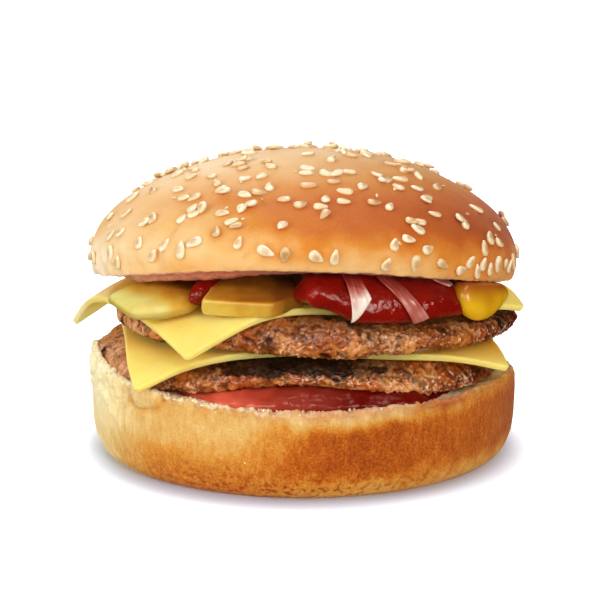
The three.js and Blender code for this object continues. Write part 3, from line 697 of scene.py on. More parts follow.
# Relief of the crust: swells, fine upright wrinkles, folds crushed into the left shoulder, a raised flap
# of dough with a crease under it, and small ridges below the rim at the right.
def heelRelief(points, fromRim):
    azimuth, height = azimuthAt(points), points[..., 2]
    fine = lerp(*heel["fine"], smoothstep(azimuth, -16, 14)) * noise(points, heel["fineSize"])
    swell = rough(points, *heel["swells"]) + fine
    crushed = bumps(azimuth, heel["crushed"]) * (1 - smoothstep(fromRim + noise(points, 5), 5, 12))
    folds = heel["folds"] * layeredNoise(points * [1, 1, heel["foldSquash"]], heel["foldSize"])
    folds = folds + rough(points, heel["foldGrain"])
    away, crease = flapOf(points)
    flap = heel["flapRise"] * (1 - smoothstep(away, 0.3, 0.95)) - heel["creaseDepth"] * crease
    shoulder = bumps(azimuth, heel["shoulder"]) * (1 - smoothstep(fromRim, 0.5, 4.5))
    ridges = shoulder * (rough(points, heel["ridges"]) - 0.25)
    return np.clip(height / 3, 0, 1) * (swell + crushed * folds + flap + ridges)


# How far the heel is baked: cream at the left, and a brown band at the right that starts under the pale
# shoulder and fades to gold near the floor; the crushed shoulder is made paler, painted light over its shade.
def heelToast(points):
    azimuth, height = azimuthAt(points), points[..., 2]
    wander = azimuth + 2.5 * noise(points, 9)
    turning = 1 - smoothstep(azimuth, 124, 172)
    left = heel["leftToast"] + heel["leftTop"] * smoothstep(height, 8, 15)
    left = left + heel["towardFront"] * smoothstep(wander, -74, -36) * turning
    low = smoothstep(-height, -14, -3) * smoothstep(wander, -84, -30)
    left = left + heel["leftFoot"] * low * turning
    # Paler on the crushed shoulder where its folds lie in shade: painted light.
    left = left - bumps(azimuth, heel["crushedPaintedLight"]) * smoothstep(height, 12, 19)
    top = lerp(*heel["bandTop"], smoothstep(azimuth, 3, 50))
    band = smoothstep(-height + rough(points, (1.1, 6), (0.6, 2)), -top - 2, -top + 4)
    foot = smoothstep(height + 1.6 * noise(points, 4), 1.8, 8.5)
    shoulder = lerp(*heel["rightToast"], smoothstep(azimuth, 20, 72))
    brown = lerp(heel["bandFoot"], lerp(*heel["bandToast"], smoothstep(azimuth, 12, 40)), foot)
    right = smoothstep(wander, -21, 8) * (1 - smoothstep(wander, 138, 170))
    return lerp(left, lerp(shoulder, brown, band), right)


# Crumb shows on the cut face and along the torn rim, except where skin was pulled over the face.
def makeHeel():
    points, onFace, rim = heelProfile()
    azimuth, fromRim = azimuthAt(points), rim - points[..., 2]
    edge = bumps(azimuth, *heel["tornEdge"]) * (0.55 + rough(points, *heel["tearing"])) + 0.15
    torn = 1 - smoothstep(fromRim + 0.5 * noise(points, 1.2), edge * 0.5, edge * 1.3 + 0.2)
    skinned = smoothstep(reachAt(points), 43, 46) * bumps(azimuth, heel["skinned"])
    isCrumb = np.maximum(onFace, torn) * (1 - skinned)
    relief = isCrumb * rough(points, *heel["shreds"]) + (1 - 0.8 * isCrumb) * heelRelief(points, fromRim)
    points = points + ringNormals(points) * relief[..., None]
    soaked = 1 - smoothstep(fromRim + 0.6 * noise(points, (1.5, 1.5, 5)), *heel["soakDepth"])
    onRim = (1 - onFace) * bumps(azimuth, *heel["soaked"]) * soaked
    stain = np.maximum(onFace * isCrumb * (heel["faceStain"] - bumps(azimuth, heel["cleanFace"])), onRim)
    away, crease = flapOf(points)
    # Paler crust on the skinned face lifts it out of its shade, painted light; the flap's crease is darker,
    # painted shade.
    toast = lerp(heelToast(points), heel["faceToastAndLight"], onFace * skinned) + heel["creasePaintedShade"] * crease
    toast = toast - heel["flapPaler"] * (1 - smoothstep(away, 0.6, 0.95))
    pitted = bumps(azimuth, heel["pitted"]) * smoothstep(-points[..., 2] + 2 * noise(points, 4), -11, -2)
    return makeRinged("bun_heel", points, crustOfHeel, ["bun_bottom"],
                      {"toast": toast, "crumb": isCrumb, "stain": stain, "pitted": pitted * (1 - isCrumb)})


crustOfHeel = bakedCrust("tin-baked bun crust", {
    "cloudSize": 5, "cloud": 0.22, "speckSize": 0.5, "speck": 0.6, "streak": 0.26,
    "baking": [(0.0, "#F6EBC2"), (0.2, "#EFD89E"), (0.4, "#DBB26A"),
               (0.6, "#D18E37"), (0.8, "#BC621A"), (1.0, "#964010")],
    "bread": [(0.35, "#F0DBA4"), (0.65, "#FCF2D4")],
    "stainTint": "#D99C84", "wrinkleSize": 1.2, "wrinkleStretch": 0.4, "wrinkle": 1.4, "grain": 1.2,
    "roughness": 0.6, "gloss": 0.05, "depth": 0.06, "bloom": 0.05,
})
makeHeel()


crumbs = {
    "count": 120, "size": (0.18, 0.45), "dents": (0.75, 1.2), "squash": (0.6, 1.3), "sides": 6, "rings": 3,
    "draws": 11, "azimuth": (-19, 15), "onRim": 0.96, "rimWidth": 1.6, "wallHeights": (5, 20), "soaked": 0.8,
}


# Crumbs and flour: small dented balls strewn along the torn rim, and a few on the wall.
def makeCrumbs():
    draw = np.random.default_rng(crumbs["draws"])
    count, radius, corner = crumbs["count"], stack["heelRadius"], heel["cornerHeight"]
    azimuth = draw.normal(*crumbs["azimuth"], count)
    onRim = draw.random(count) < crumbs["onRim"]
    reach = np.where(onRim, radius - draw.uniform(0.0, crumbs["rimWidth"], count), radius)
    rim = heelRim(azimuth) - 0.1 - 0.5 * (reach > radius - 0.5)
    height = np.where(onRim, rim, draw.uniform(*crumbs["wallHeights"], count))
    inward = np.where(height < corner, ((corner - height) / corner) ** 3 * 4, 0)
    place = joined(*polar(azimuth, reach - inward), height)
    t, around = ballAngles(crumbs["rings"], crumbs["sides"])
    body = joined(np.sin(t) * np.cos(around), np.sin(t) * np.sin(around), -np.cos(t))
    local = np.concatenate([body.reshape(-1, 3), [[0, 0, -1]], [[0, 0, 1]]])
    size = draw.uniform(*crumbs["size"], count) * np.where(onRim, 1, 0.5)
    squash = draw.uniform(*crumbs["squash"], (count, 1, 3))
    shape = local[None] * squash * draw.uniform(*crumbs["dents"], (count, len(local), 1))
    world = (place[:, None] + shape * size[:, None, None]).reshape(-1, 3)
    soaked = np.repeat(crumbs["soaked"] * onRim * draw.random(count), len(local))
    return makePiece("bread_crumbs", world, copiedFaces(count, crumbs["rings"], crumbs["sides"]), crustOfHeel,
                     ["bun_bottom"], {"crumb": np.ones(len(world)), "stain": soaked})


makeCrumbs()


# Flat-bodied layer from bottom middle to top middle. angle runs from -90 to 90 degrees round its edge:
# share of the outline = cos(angle)^(2/power), height = middle + half thickness times sin(angle).
def layerPoints(outline, bottom, top, power, sides, wallRings, flatRings, centre=(0, 0)):
    azimuth = anglesRound(sides)[None, :]
    angle = np.radians(np.linspace(-72, 72, wallRings))[:, None]
    wallShare = np.cos(angle) ** (2 / power)
    inner = np.linspace(0.03, wallShare[0, 0], flatRings + 1)[:-1, None]
    lean = np.arccos(inner ** (power / 2))
    share = np.concatenate([inner, wallShare, inner[::-1]])
    tilt = np.concatenate([-lean, angle, lean[::-1]])
    x, y = polar(azimuth, share * outline(azimuth), centre)
    low, high = bottom(x, y), top(x, y)
    z = (low + high) / 2 + (high - low) / 2 * np.sin(tilt)
    side = np.cos(tilt) + 0 * azimuth
    return np.stack([x, y, z], axis=-1), side


mince = {
    "grid": (1040, 66, 8), "edge": (42, 47), "open": [(-2, 31, 1), (104, 22, 1)],
    "pressed": 1.5, "pressedMore": (41, 14, 0.9), "splay": (2.4, -1.3),
    "swell": (0.5, 7), "wander": 2.9, "lumpSize": (3.0, 3.0, 2.4), "lump": 0.16,
    "grain": 0.34, "grainSize": 1.15,
    "fine": 0.28, "fineSize": 0.62, "threadSize": 1.5, "thread": 0.16, "pitSize": 1.6, "pit": 0.35,
    "tone": 0.47, "toneOfBent": [(0.2, 2.4), (0.16, 1.1)], "toneOfLump": 0.12, "toneDrift": (0.24, 6),
    "seared": 0.55, "juice": 0.7,
}


# A patty's edge may settle on the bun below or hang a little, and its outline is drawn in where given.
# Relief from lumps, grains and threads of meat laid over each other in wandering coordinates, so that no
# pattern repeats: grains are smooth noise, and a pale thread, partly fat and partly a painted glint, runs
# where another noise crosses zero.
def makePatty(name, node, patty):
    def seated(azimuth):
        first, second = mince["open"]
        return patty["seated"] * (1 - bumps(azimuth, first)) * (1 - bumps(azimuth, second))

    def bottom(x, y):
        azimuth, outer = azimuthOf(x, y), smoothstep(np.hypot(x, y), *mince["edge"])
        hung = patty["bottom"](x, y) - outer * bumps(azimuth, patty["hang"])
        pressed = heelFace(x, y) - mince["pressed"] - bumps(azimuth, mince["pressedMore"])
        return lerp(hung, pressed, seated(azimuth) * outer)

    def levelOf(points):
        x, y = points[..., 0], points[..., 1]
        return (points[..., 2] - bottom(x, y)) / (patty["top"](x, y) - bottom(x, y))

    def outline(azimuth):
        return patty["radius"] - bumps(azimuth, patty["drawn"])

    points, side = layerPoints(outline, bottom, patty["top"], patty["power"], *mince["grid"],
                               (patty["centreX"], 0))
    azimuth, reach = azimuthAt(points), reachAt(points)
    splay = lerp(*mince["splay"], smoothstep(levelOf(points), 0, 0.9))
    splay = seated(azimuth) * splay * smoothstep(reach, 40, 46)
    points = points * (1 + splay / np.maximum(reach, 1))[..., None] ** [1, 1, 0]

    normal = ringNormals(points)
    bent = points + np.stack([noise(points + shift, mince["wander"]) for shift in (0, 40, 80)], axis=-1)
    near, number = scatter(bent, mince["lumpSize"])
    grains = noise(bent, mince["grainSize"])
    fatty = smoothstep(noise(points + 21, 5.5), -0.3, 0.15)
    thread = np.exp(-(noise(bent + 3, mince["threadSize"]) / 0.1) ** 2) * fatty
    pit = smoothstep(noise(bent + 9, mince["pitSize"]), 0.42, 0.8)
    texture = mince["grain"] * grains + mince["fine"] * noise(bent + 7, mince["fineSize"])
    outward = (rough(points, mince["swell"]) - mince["lump"] * (smoothstep(near, 0.1, 0.95) - 0.5)
               + mince["thread"] * thread - mince["pit"] * pit + texture)
    azimuth, level = azimuthAt(points), levelOf(points)
    points = points + normal * (outward * lerp(0.3, 1, smoothstep(side, 0.1, 0.6)))[..., None]

    # Painted shade in the hollows: darker where the surface lies deeper.
    crevice = np.clip(0.7 * pit + 0.65 * smoothstep(-texture, 0.06, 0.4), 0, 1)
    # Tone: random, and pale lightens the left ends and darkens the right, partly the meat's colour and partly
    # painted light and shade.
    tone = (mince["tone"] + rough(bent, *mince["toneOfBent"]) + mince["toneOfLump"] * (number - 0.5)
            + rough(points, mince["toneDrift"]) + bumps(azimuth, *patty["pale"]))
    rust = smoothstep(noise(points + 60, 5) + 0.3 * noise(bent, 1.6), 0.12, 0.55)
    glazed = smoothstep(level + 0.1 * noise(points, 3), 0.42, 0.6)
    rust = np.clip(rust + bumps(azimuth + 2 * noise(points, 3), *patty["glaze"]) * glazed, 0, 1)

    # Char: seared patches, and black on top where the cheese overhangs and at the foot that is partly painted
    # shadow.
    seared = mince["seared"] * smoothstep(noise(points + 35, 4) + 0.35 * noise(bent, 1.2), 0.25, 0.7)
    touched = smoothstep(level + rough(bent, (0.14, 2.5), (0.16, 1.0)), 0.42, 0.78)
    touched = bumps(azimuth, *patty["charAndShadowTop"]) * touched * (1 - 0.3 * smoothstep(grains, 0.1, 0.6))
    below = bumps(azimuth, *patty["charAndShadeLow"]) * smoothstep(-level + 0.14 * noise(bent, 2.5), -0.3, 0.0)
    char = np.clip(seared + touched + below + 1 - smoothstep(side, 0.05, 0.35), 0, 1)
    spots = smoothstep(noise(points + 11, 2.2), 0.2, 0.55) * bumps(azimuth, patty["spotted"])
    char = np.clip(char + spots, 0, 1)
    # Pale threads, partly fat and partly painted glints, more of them low on the side; greyed adds more at
    # the left.
    fat = thread * lerp(0.45, 1, smoothstep(-level, -0.75, -0.45)) + bumps(azimuth, patty["greyed"])
    return makeRinged(name, points, beef, [node],
                      {"tone": tone, "crevice": crevice, "char": char, "rust": rust, "fat": fat,
                       "wet": mince["juice"] * (1 - 0.95 * char)})


# Grilled beef mince: grains and strands of browned muscle, rust-brown where juice set, pale threads that
# are partly fat and partly painted glints, painted shade in the hollows, black partly where it touched the
# grill and partly as painted shadow under the cheese and at the foot, and a wet coat of fat and juice over
# all of it.
beef = makeMaterial("grilled beef mince")
place = addNode(beef, "TexCoord")
tone, crevice, char, rust, fat, wet = [addNode(beef, "Attribute", {"attribute_name": key})
                                       for key in ("tone", "crevice", "char", "rust", "fat", "wet")]
fibre = addNode(beef, "TexNoise", {"Scale": perMetre(1.3), "Detail": 2, "Roughness": 0.6, "Distortion": 0.8},
                {"Vector": place})
mixed = addNode(beef, "Math", {"operation": "MULTIPLY_ADD", 1: 0.7}, {0: fibre, 2: tone})
muscle = addNode(beef, "ValToRGB", {}, {"Fac": mixed},
                 [(0.42, "#501C09"), (0.66, "#8A4014"), (0.86, "#B4682A"), (1.0, "#D68E4E")])
for share, colour, most in ((rust, "#B8541A", 0.65), (fat, "#FAD2AE", 0.75)):
    strength = addNode(beef, "Math", {"operation": "MULTIPLY", 1: most}, {0: share})
    muscle = addNode(beef, "Mix", {**blended, 7: linear(colour)}, {0: strength, 6: muscle})
# Painted shade in the hollows.
hollow = addNode(beef, "Mix", {**multiplied, 7: linear("#561C0A")}, {0: crevice, 6: muscle})
# Black for char and for painted shadow.
burnt = addNode(beef, "Math", {"operation": "MULTIPLY", 1: 0.95}, {0: char})
seared = addNode(beef, "Mix", {**blended, 7: linear("#0E0402")}, {0: burnt, 6: hollow})
relief = addNode(beef, "Bump", {"Strength": 0.6, "Distance": 0.4 * mm}, {"Height": fibre})
surface = addNode(beef, "BsdfPrincipled",
                  {"IOR": 1.4, "Roughness": 0.5, "Specular IOR Level": 0.1,
                   "Coat Roughness": 0.12, "Coat IOR": 1.5, "Subsurface Weight": 0.08,
                   "Subsurface Radius": (1.0, 0.35, 0.2), "Subsurface Scale": 1.2 * mm},
                  {"Base Color": seared, "Normal": relief, "Coat Normal": relief, "Coat Weight": wet})
addNode(beef, "OutputMaterial", {}, {"Surface": surface})

# pale and the char bumps paint light and shade as well as colour: lighter at the left ends, darker under the
# cheese and at the foot.
lowerPatty = {
    "radius": 47.6, "centreX": -0.5, "power": 14, "bottom": lowerPattyBottom, "top": lowerPattyTop,
    "drawn": (108, 24, 2.7), "seated": 1.0, "hang": (0, 30, 0.2),
    "pale": [(-72, 24, 0.44), (27, 20, 0.1), (52, 16, -0.2)], "greyed": (-70, 22, 0.26),
    "glaze": [(-34, 5, 0.8)], "spotted": (-76, 14, 0.75),
    "charAndShadowTop": [(-5, 25, 1.7), (64, 24, 0.3), (180, 60, 0.7)], "charAndShadeLow": [(-32, 14, 0.9), (30, 14, 0.3)],
}
upperPatty = {
    "radius": 47.4, "centreX": 3.1, "power": 12, "bottom": upperPattyBottom, "top": upperPattyTop,
    "drawn": (104, 24, 0.4), "seated": 0.0, "hang": (-1, 18, 2.0),
    "pale": [(-60, 24, 0.3), (38, 16, -0.05), (84, 26, -0.42)], "greyed": (-66, 18, 0.2),
    "glaze": [(7.5, 4.5, 1.2), (-14, 3, 0.7)], "spotted": (-66, 22, 0.85),
    "charAndShadowTop": [(8, 22, 0.5), (72, 26, 0.75), (180, 60, 0.7)],
    "charAndShadeLow": [(-52, 24, 1.2), (70, 30, 0.5), (30, 20, 0.3)],
}
makePatty("beef_patty_lower", "patty_lower", lowerPatty)
makePatty("beef_patty_upper", "patty_upper", upperPatty)


cheese = {
    "side": 84, "thickness": 1.5, "hold": 4.5, "bend": 9, "rounding": 0.42, "corner": 1.6,
    "cells": 120, "crowding": 0.93, "edgeLines": (0, 0.06, 0.16, 0.3, 0.42),
    "wave": (0.1, 12), "liftReach": (38, 47),
    "shade": 0.25, "shadeReach": (45, 52), "shadedRight": (74, 28, 1), "shadedLeft": (-100, 24, 0.6),
}


# Point off the underside of a slice that lies on a patty. Past the patty's edge the slice bends down
# on an arc of the given length until it has its droop, and then runs on straight.
def drapedPoint(flatX, flatY, offset, cut):
    azimuth = azimuthOf(flatX, flatY)
    reach = np.hypot(flatX, flatY)
    start = cut["seatRadius"] + cut["seatX"] * np.sin(np.radians(azimuth)) - cheese["hold"]
    past = np.maximum(0, reach - start)
    droop = np.radians(cut["droop"] + bumps(azimuth, *cut["corners"]))
    bent = np.minimum(past, cheese["bend"])
    angle = droop * bent / cheese["bend"]
    arc = cheese["bend"] / droop
    radius = reach - past + arc * np.sin(angle) + (past - bent) * np.cos(droop)
    sink = arc * (1 - np.cos(angle)) + (past - bent) * np.sin(droop)
    edgeX, edgeY = polar(azimuth, reach - past)
    x, y = polar(azimuth, radius + offset * np.sin(angle))
    lift = bumps(azimuth, cut["lift"]) * smoothstep(reach, *cheese["liftReach"])
    return np.stack([x, y, cut["seat"](edgeX, edgeY) + lift - sink + offset * np.cos(angle)], axis=-1)


# Square of the given side on a grid whose lines crowd at the border, with each corner a quarter circle,
# and each point's distance to the border.
def roundedSquare():
    side, corner = cheese["side"], cheese["corner"]
    spread = math.pi / 2 * cheese["crowding"]
    line = side / 2 * np.sin(np.linspace(-1, 1, cheese["cells"] + 1) * spread) / math.sin(spread)
    near = np.array(cheese["edgeLines"])
    inside = line[np.abs(line) < side / 2 - 0.6]
    line = np.concatenate([near - side / 2, inside, side / 2 - near[::-1]])
    u, v = np.meshgrid(line, line)
    du, dv = corner - (side / 2 - np.abs(u)), corner - (side / 2 - np.abs(v))
    inCorner = (du > 0) & (dv > 0)
    outer = np.maximum(du, dv)
    pull = np.where(inCorner, outer / np.maximum(np.hypot(du, dv), 1e-9), 1)
    u = np.where(inCorner, np.sign(u) * (side / 2 - corner + du * pull), u)
    v = np.where(inCorner, np.sign(v) * (side / 2 - corner + dv * pull), v)
    border = np.where(inCorner, corner - outer, side / 2 - np.maximum(np.abs(u), np.abs(v)))
    return u, v, border


# Faces of a slab: two square grids, the upper one first in the points, and strips that close the sides.
def slabFaces(rows):
    upper = np.arange(rows * rows).reshape(rows, rows)
    lower = upper + rows * rows
    grids = [
        (upper[:-1, :-1], upper[:-1, 1:], upper[1:, 1:], upper[1:, :-1]),
        (lower[:-1, :-1], lower[1:, :-1], lower[1:, 1:], lower[:-1, 1:]),
        (lower[0, :-1], lower[0, 1:], upper[0, 1:], upper[0, :-1]),
        (lower[-1, 1:], lower[-1, :-1], upper[-1, :-1], upper[-1, 1:]),
        (lower[1:, 0], lower[:-1, 0], upper[:-1, 0], upper[1:, 0]),
        (lower[:-1, -1], lower[1:, -1], upper[1:, -1], upper[:-1, -1]),
    ]
    return np.concatenate([np.stack(corners, axis=-1).reshape(-1, 4) for corners in grids])


# Slice laid over a patty. Both faces turn over a small round at the border, r - sqrt(r^2 - (r - d)^2).
def makeCheese(name, node, cut):
    u, v, border = roundedSquare()
    half, rounding = cheese["thickness"] / 2, cheese["rounding"]
    turned = rounding - np.sqrt(np.maximum(rounding ** 2 - np.maximum(rounding - border, 0) ** 2, 0))
    turn = math.radians(cut["turn"])
    across, back = u + cheese["side"] / 2, v + cheese["side"] / 2
    flatX = cut["corner"][0] + across * math.cos(turn) - back * math.sin(turn)
    flatY = cut["corner"][1] + across * math.sin(turn) + back * math.cos(turn)
    middle = stack["gap"] + half + rough(joined(flatX, flatY, cut["droop"]), cheese["wave"])
    upper = drapedPoint(flatX, flatY, middle + half - turned, cut)
    lower = drapedPoint(flatX, flatY, middle - half + turned, cut)
    points = np.concatenate([upper.reshape(-1, 3), lower.reshape(-1, 3)])

    # inner is painted shade: orange where the slice lies in shade under the upper patty and at the left.
    reach, azimuth = np.hypot(flatX, flatY), azimuthOf(flatX, flatY)
    right = bumps(azimuth, cheese["shadedRight"]) * (1 - smoothstep(reach, 50, 58))
    left = bumps(azimuth, cheese["shadedLeft"]) * (1 - smoothstep(reach, 47, 53))
    inner = cut["inner"] * (cheese["shade"] * (1 - smoothstep(reach, *cheese["shadeReach"])) + right) + left
    # tip is painted light on the brightly lit left corner of the upper slice, and edge a painted highlight
    # along the cut edges.
    tip = bumps(azimuth, cut["tip"]) * smoothstep(reach, 47, 57)
    edge = 1 - smoothstep(border, 0.1, 0.9)
    edge, inner, tip = [np.tile(np.clip(share, 0, 1).ravel(), 2) for share in (edge, inner, tip)]
    return makePiece(name, points, [slabFaces(len(u))], processedCheese, [node],
                     {"edge": edge * (1 - 0.5 * inner), "inner": inner, "tip": tip})


# Processed cheese: smooth, pressed and even, waxy, with light scattering well into it. Painted shade turns it
# orange where it lies in shade, its cut edges carry a painted highlight, the upper slice's left corner
# painted light, and a faint glow all over lifts its shaded parts though it is no lamp.
processedCheese = makeMaterial("processed cheese")
place = addNode(processedCheese, "TexCoord")
cloud = addNode(processedCheese, "TexNoise", {"Scale": perMetre(14), "Detail": 2}, {"Vector": place})
tint = addNode(processedCheese, "ValToRGB", {}, {"Fac": cloud}, [(0.3, "#F0CC60"), (0.7, "#F7E082")])
# inner paints shade, edge a highlight, tip light.
for share, colour in (("inner", "#EA9E30"), ("edge", "#F4D47A"), ("tip", "#FFEFB8")):
    part = addNode(processedCheese, "Attribute", {"attribute_name": share})
    tint = addNode(processedCheese, "Mix", {**blended, 7: linear(colour)}, {0: part, 6: tint})
fine = addNode(processedCheese, "TexNoise", {"Scale": perMetre(2.5), "Detail": 3}, {"Vector": place})
relief = addNode(processedCheese, "Bump", {"Strength": 0.12, "Distance": 0.2 * mm}, {"Height": fine})
surface = addNode(processedCheese, "BsdfPrincipled",
                  {"Roughness": 0.4, "IOR": 1.44, "Specular IOR Level": 0.15, "Subsurface Weight": 0.75,
                   "Subsurface Radius": (0.95, 0.66, 0.14), "Subsurface Scale": 7 * mm,
                   "Emission Color": linear("#F4BE48"), "Emission Strength": 0.08},
                  {"Base Color": tint, "Normal": relief})
addNode(processedCheese, "OutputMaterial", {}, {"Surface": surface})

lowerSlice = {
    "seat": lowerPattyTop, "seatRadius": 48, "seatX": -0.5,
    "corner": (-37.3, -45), "turn": 8, "droop": 20, "corners": [(-39, 35, 16), (-126, 40, 8), (144, 40, 5)],
    "lift": (0, 10, 0), "inner": 1, "tip": (-109, 20, 0),
}
upperSlice = {
    "seat": upperPattyTop, "seatRadius": 47.6, "seatX": 3.1,
    "corner": (-25.2, -54.6), "turn": 25.5, "droop": 9,
    "corners": [(-25, 33, 20), (-112, 36, 31), (158, 40, 20), (72, 13, 34)],
    "lift": (79, 11, 2.8), "inner": 0.15, "tip": (-109, 24, 1.0),
}
makeCheese("cheese_slice_lower", "cheese_lower", lowerSlice)
makeCheese("cheese_slice_upper", "cheese_upper", upperSlice)


# Sauce: thick, wet and glossy, slightly see-through at thin edges.
def wetSauce(name, values):
    material = makeMaterial(name)
    place = addNode(material, "TexCoord")
    pulp, drift = [
        addNode(material, "TexNoise", {"Scale": perMetre(size), "Detail": detail}, {"Vector": place})
        for size, detail in ((values["pulpSize"], 3), (values["driftSize"], 2))]
    tint = addNode(material, "ValToRGB", {}, {"Fac": drift}, values["tints"])
    # Painted shade: darker where the sauce lies in shade.
    deep = addNode(material, "Attribute", {"attribute_name": "deep"})
    tint = addNode(material, "Mix", {**blended, 7: linear(values["paintedShadeTint"])}, {0: deep, 6: tint})
    relief = addNode(material, "Bump", {"Strength": values["relief"], "Distance": 0.35 * mm},
                     {"Height": pulp})
    surface = addNode(material, "BsdfPrincipled",
                      {"Roughness": values["roughness"], "IOR": 1.38, "Specular IOR Level": values["gloss"],
                       "Subsurface Weight": values["depth"], "Subsurface Radius": values["reach"],
                       "Subsurface Scale": 2 * mm},
                      {"Base Color": tint, "Normal": relief})
    addNode(material, "OutputMaterial", {}, {"Surface": surface})
    return material


tomatoKetchup = wetSauce("tomato ketchup", {
    "pulpSize": 0.9, "driftSize": 6, "relief": 0.7, "roughness": 0.13, "gloss": 0.45,
    "depth": 0.12, "reach": (1.0, 0.12, 0.06),
    "tints": [(0.3, "#740C05"), (0.7, "#8C120A")], "paintedShadeTint": "#4A0A05"})
# Ketchup under the patty: lighter, pinker tints that paint its highlight, with painted shade towards the
# right.
settledKetchup = wetSauce("tomato ketchup, settled, painted lighter", {
    "pulpSize": 1.6, "driftSize": 6, "relief": 0.3, "roughness": 0.2, "gloss": 0.18,
    "depth": 0.12, "reach": (1.0, 0.12, 0.06),
    "tints": [(0.3, "#C0442F"), (0.7, "#D86148")], "paintedShadeTint": "#660B04"})
yellowMustard = wetSauce("yellow mustard", {
    "pulpSize": 1.4, "driftSize": 6, "relief": 0.12, "roughness": 0.25, "gloss": 0.45,
    "depth": 0.2, "reach": (1.0, 0.5, 0.06),
    "tints": [(0.3, "#D09A0C"), (0.7, "#E4B418")], "paintedShadeTint": "#A85414"})

lowerKetchup = {
    "radius": 41, "reach": 50.1, "bead": (5, 37, 15), "power": 40, "drawnIn": 2.6, "grid": (520, 30, 14),
    "ripple": 0.3, "rippleSpan": 3.3, "under": 1.3, "underMore": (41, 14, 1.2), "over": 0.3,
    "waves": [(0.45, 5), (0.26, (2.0, 2.0, 2.0 / 0.6)), (0.07, 0.8)],
    "paintedShadeFrom": (-24, -1, 16), "deep": (0.75, 0.25),
}
upperKetchup = {
    "radius": 38, "film": 1.0, "reach": 51.2, "starts": (-9, 4), "ends": (44.2, 46.4), "twist": 4,
    "smear": (-31, 5, 10.5), "clear": 0.2, "thinRight": 0.4, "hangReach": (46.5, 49),
    "overhang": 4.4, "hangFrom": (4, 14), "roof": -0.2, "power": 9, "drawnIn": 3.4, "grid": (720, 56, 20),
    "waves": [(0.45, 7), (0.24, 2.6), (0.12, 1.1), (0.06, 0.6)],
}
mustard = {
    "centre": (40, -24), "reach": 52.8, "sharpness": 7,
    "sides": [(-90, 6.8), (-30, 14), (-121, 10), (124, 8)],
    "overhang": (51.5, 9, 2.6), "power": 6, "drawnIn": 1.4, "tucked": 1.5, "tuckWay": (0.83, 0.56, 0),
    "grid": (200, 46, 10), "wave": (0.35, 5),
}


# Share of the way up from one height rule to another.
def levelBetween(points, bottom, top, least=1e-9):
    x, y = points[..., 0], points[..., 1]
    return (points[..., 2] - bottom(x, y)) / np.maximum(top(x, y) - bottom(x, y), least)


# Sauce squeezed out under a lid: its front leans in towards the top, level 1, and a little at the foot.
def drawIn(points, bottom, top, most, foot=0.35):
    level = np.clip(levelBetween(points, bottom, top, 0.1), 0, 1)
    reach = reachAt(points)
    inward = most * smoothstep(level, 0.1, 1.05) + foot * most * smoothstep(-level, -0.3, 0)
    share = 1 - inward * smoothstep(reach, 41, 48) / np.maximum(reach, 1)
    return points * joined(share, share, 1.0)


# A film between bun and patty with a bead squeezed out at the front.
def makeLowerKetchup():
    def outline(azimuth):
        bead = lowerKetchup["radius"] + bumps(azimuth, lowerKetchup["bead"])
        ripple = np.sin(azimuth / lowerKetchup["rippleSpan"]) * (np.abs(azimuth) < 60)
        return np.minimum(bead, lowerKetchup["reach"]) + lowerKetchup["ripple"] * ripple

    def bottom(x, y):
        return heelFace(x, y) - lowerKetchup["under"] - bumps(azimuthOf(x, y), lowerKetchup["underMore"])

    def top(x, y):
        return lowerPattyBottom(x, y) + lowerKetchup["over"]

    points, side = layerPoints(outline, bottom, top, lowerKetchup["power"], *lowerKetchup["grid"])
    points = drawIn(points, bottom, top, lowerKetchup["drawnIn"], 0)
    points = points + ringNormals(points) * (rough(points, *lowerKetchup["waves"]) * side)[..., None]
    # Painted shade, growing towards the right, away from the light.
    azimuth = azimuthAt(points) + 3 * noise(points, 3)
    left, middle, right = lowerKetchup["paintedShadeFrom"]
    first, second = lowerKetchup["deep"]
    deep = first * smoothstep(azimuth, left, middle) + second * smoothstep(azimuth, middle, right)
    return makeRinged("ketchup_under_patty", points, settledKetchup, ["ketchup_lower"],
                      {"deep": deep})


# Share of the thick roll at the front, 0 to 1.
def upperKetchupFront(azimuth):
    return smoothstep(azimuth, *upperKetchup["starts"]) * (1 - smoothstep(azimuth, *upperKetchup["ends"]))


# The film's outline: out to its reach at the roll, and in one smear beside it.
def upperKetchupEdge(azimuth):
    azimuth = (azimuth + 180) % 360 - 180
    spread = lerp(upperKetchup["radius"], upperKetchup["reach"], upperKetchupFront(azimuth))
    return np.minimum(spread + bumps(azimuth, upperKetchup["smear"]), upperKetchup["reach"])


# It lies on the cheese, and hangs over the edge where the roll is.
def upperKetchupBottom(x, y):
    azimuth = azimuthOf(x, y)
    droop = lerp(0.25, 1, smoothstep(azimuth, *upperKetchup["hangFrom"]))
    droop = droop * (1 - upperKetchup["thinRight"] * smoothstep(azimuth, 26, 44))
    hang = upperKetchup["overhang"] * droop * smoothstep(np.hypot(x, y), *upperKetchup["hangReach"])
    return upperCheeseTop(x, y) + upperKetchup["clear"] - hang


# A thin film on the cheese, and the underside of the crown where the sauce is squeezed out.
def upperKetchupTop(x, y):
    film = upperCheeseTop(x, y) + stack["gap"] + upperKetchup["film"]
    azimuth = azimuthOf(x, y)
    roll = np.minimum(1, 1.2 * upperKetchupFront(azimuth) + 0.1 * bumps(azimuth, upperKetchup["smear"]))
    squeezed = np.maximum(film, crownUnderside(x, y) - upperKetchup["roof"])
    return lerp(film, squeezed, roll * smoothstep(np.hypot(x, y), 22, 40))


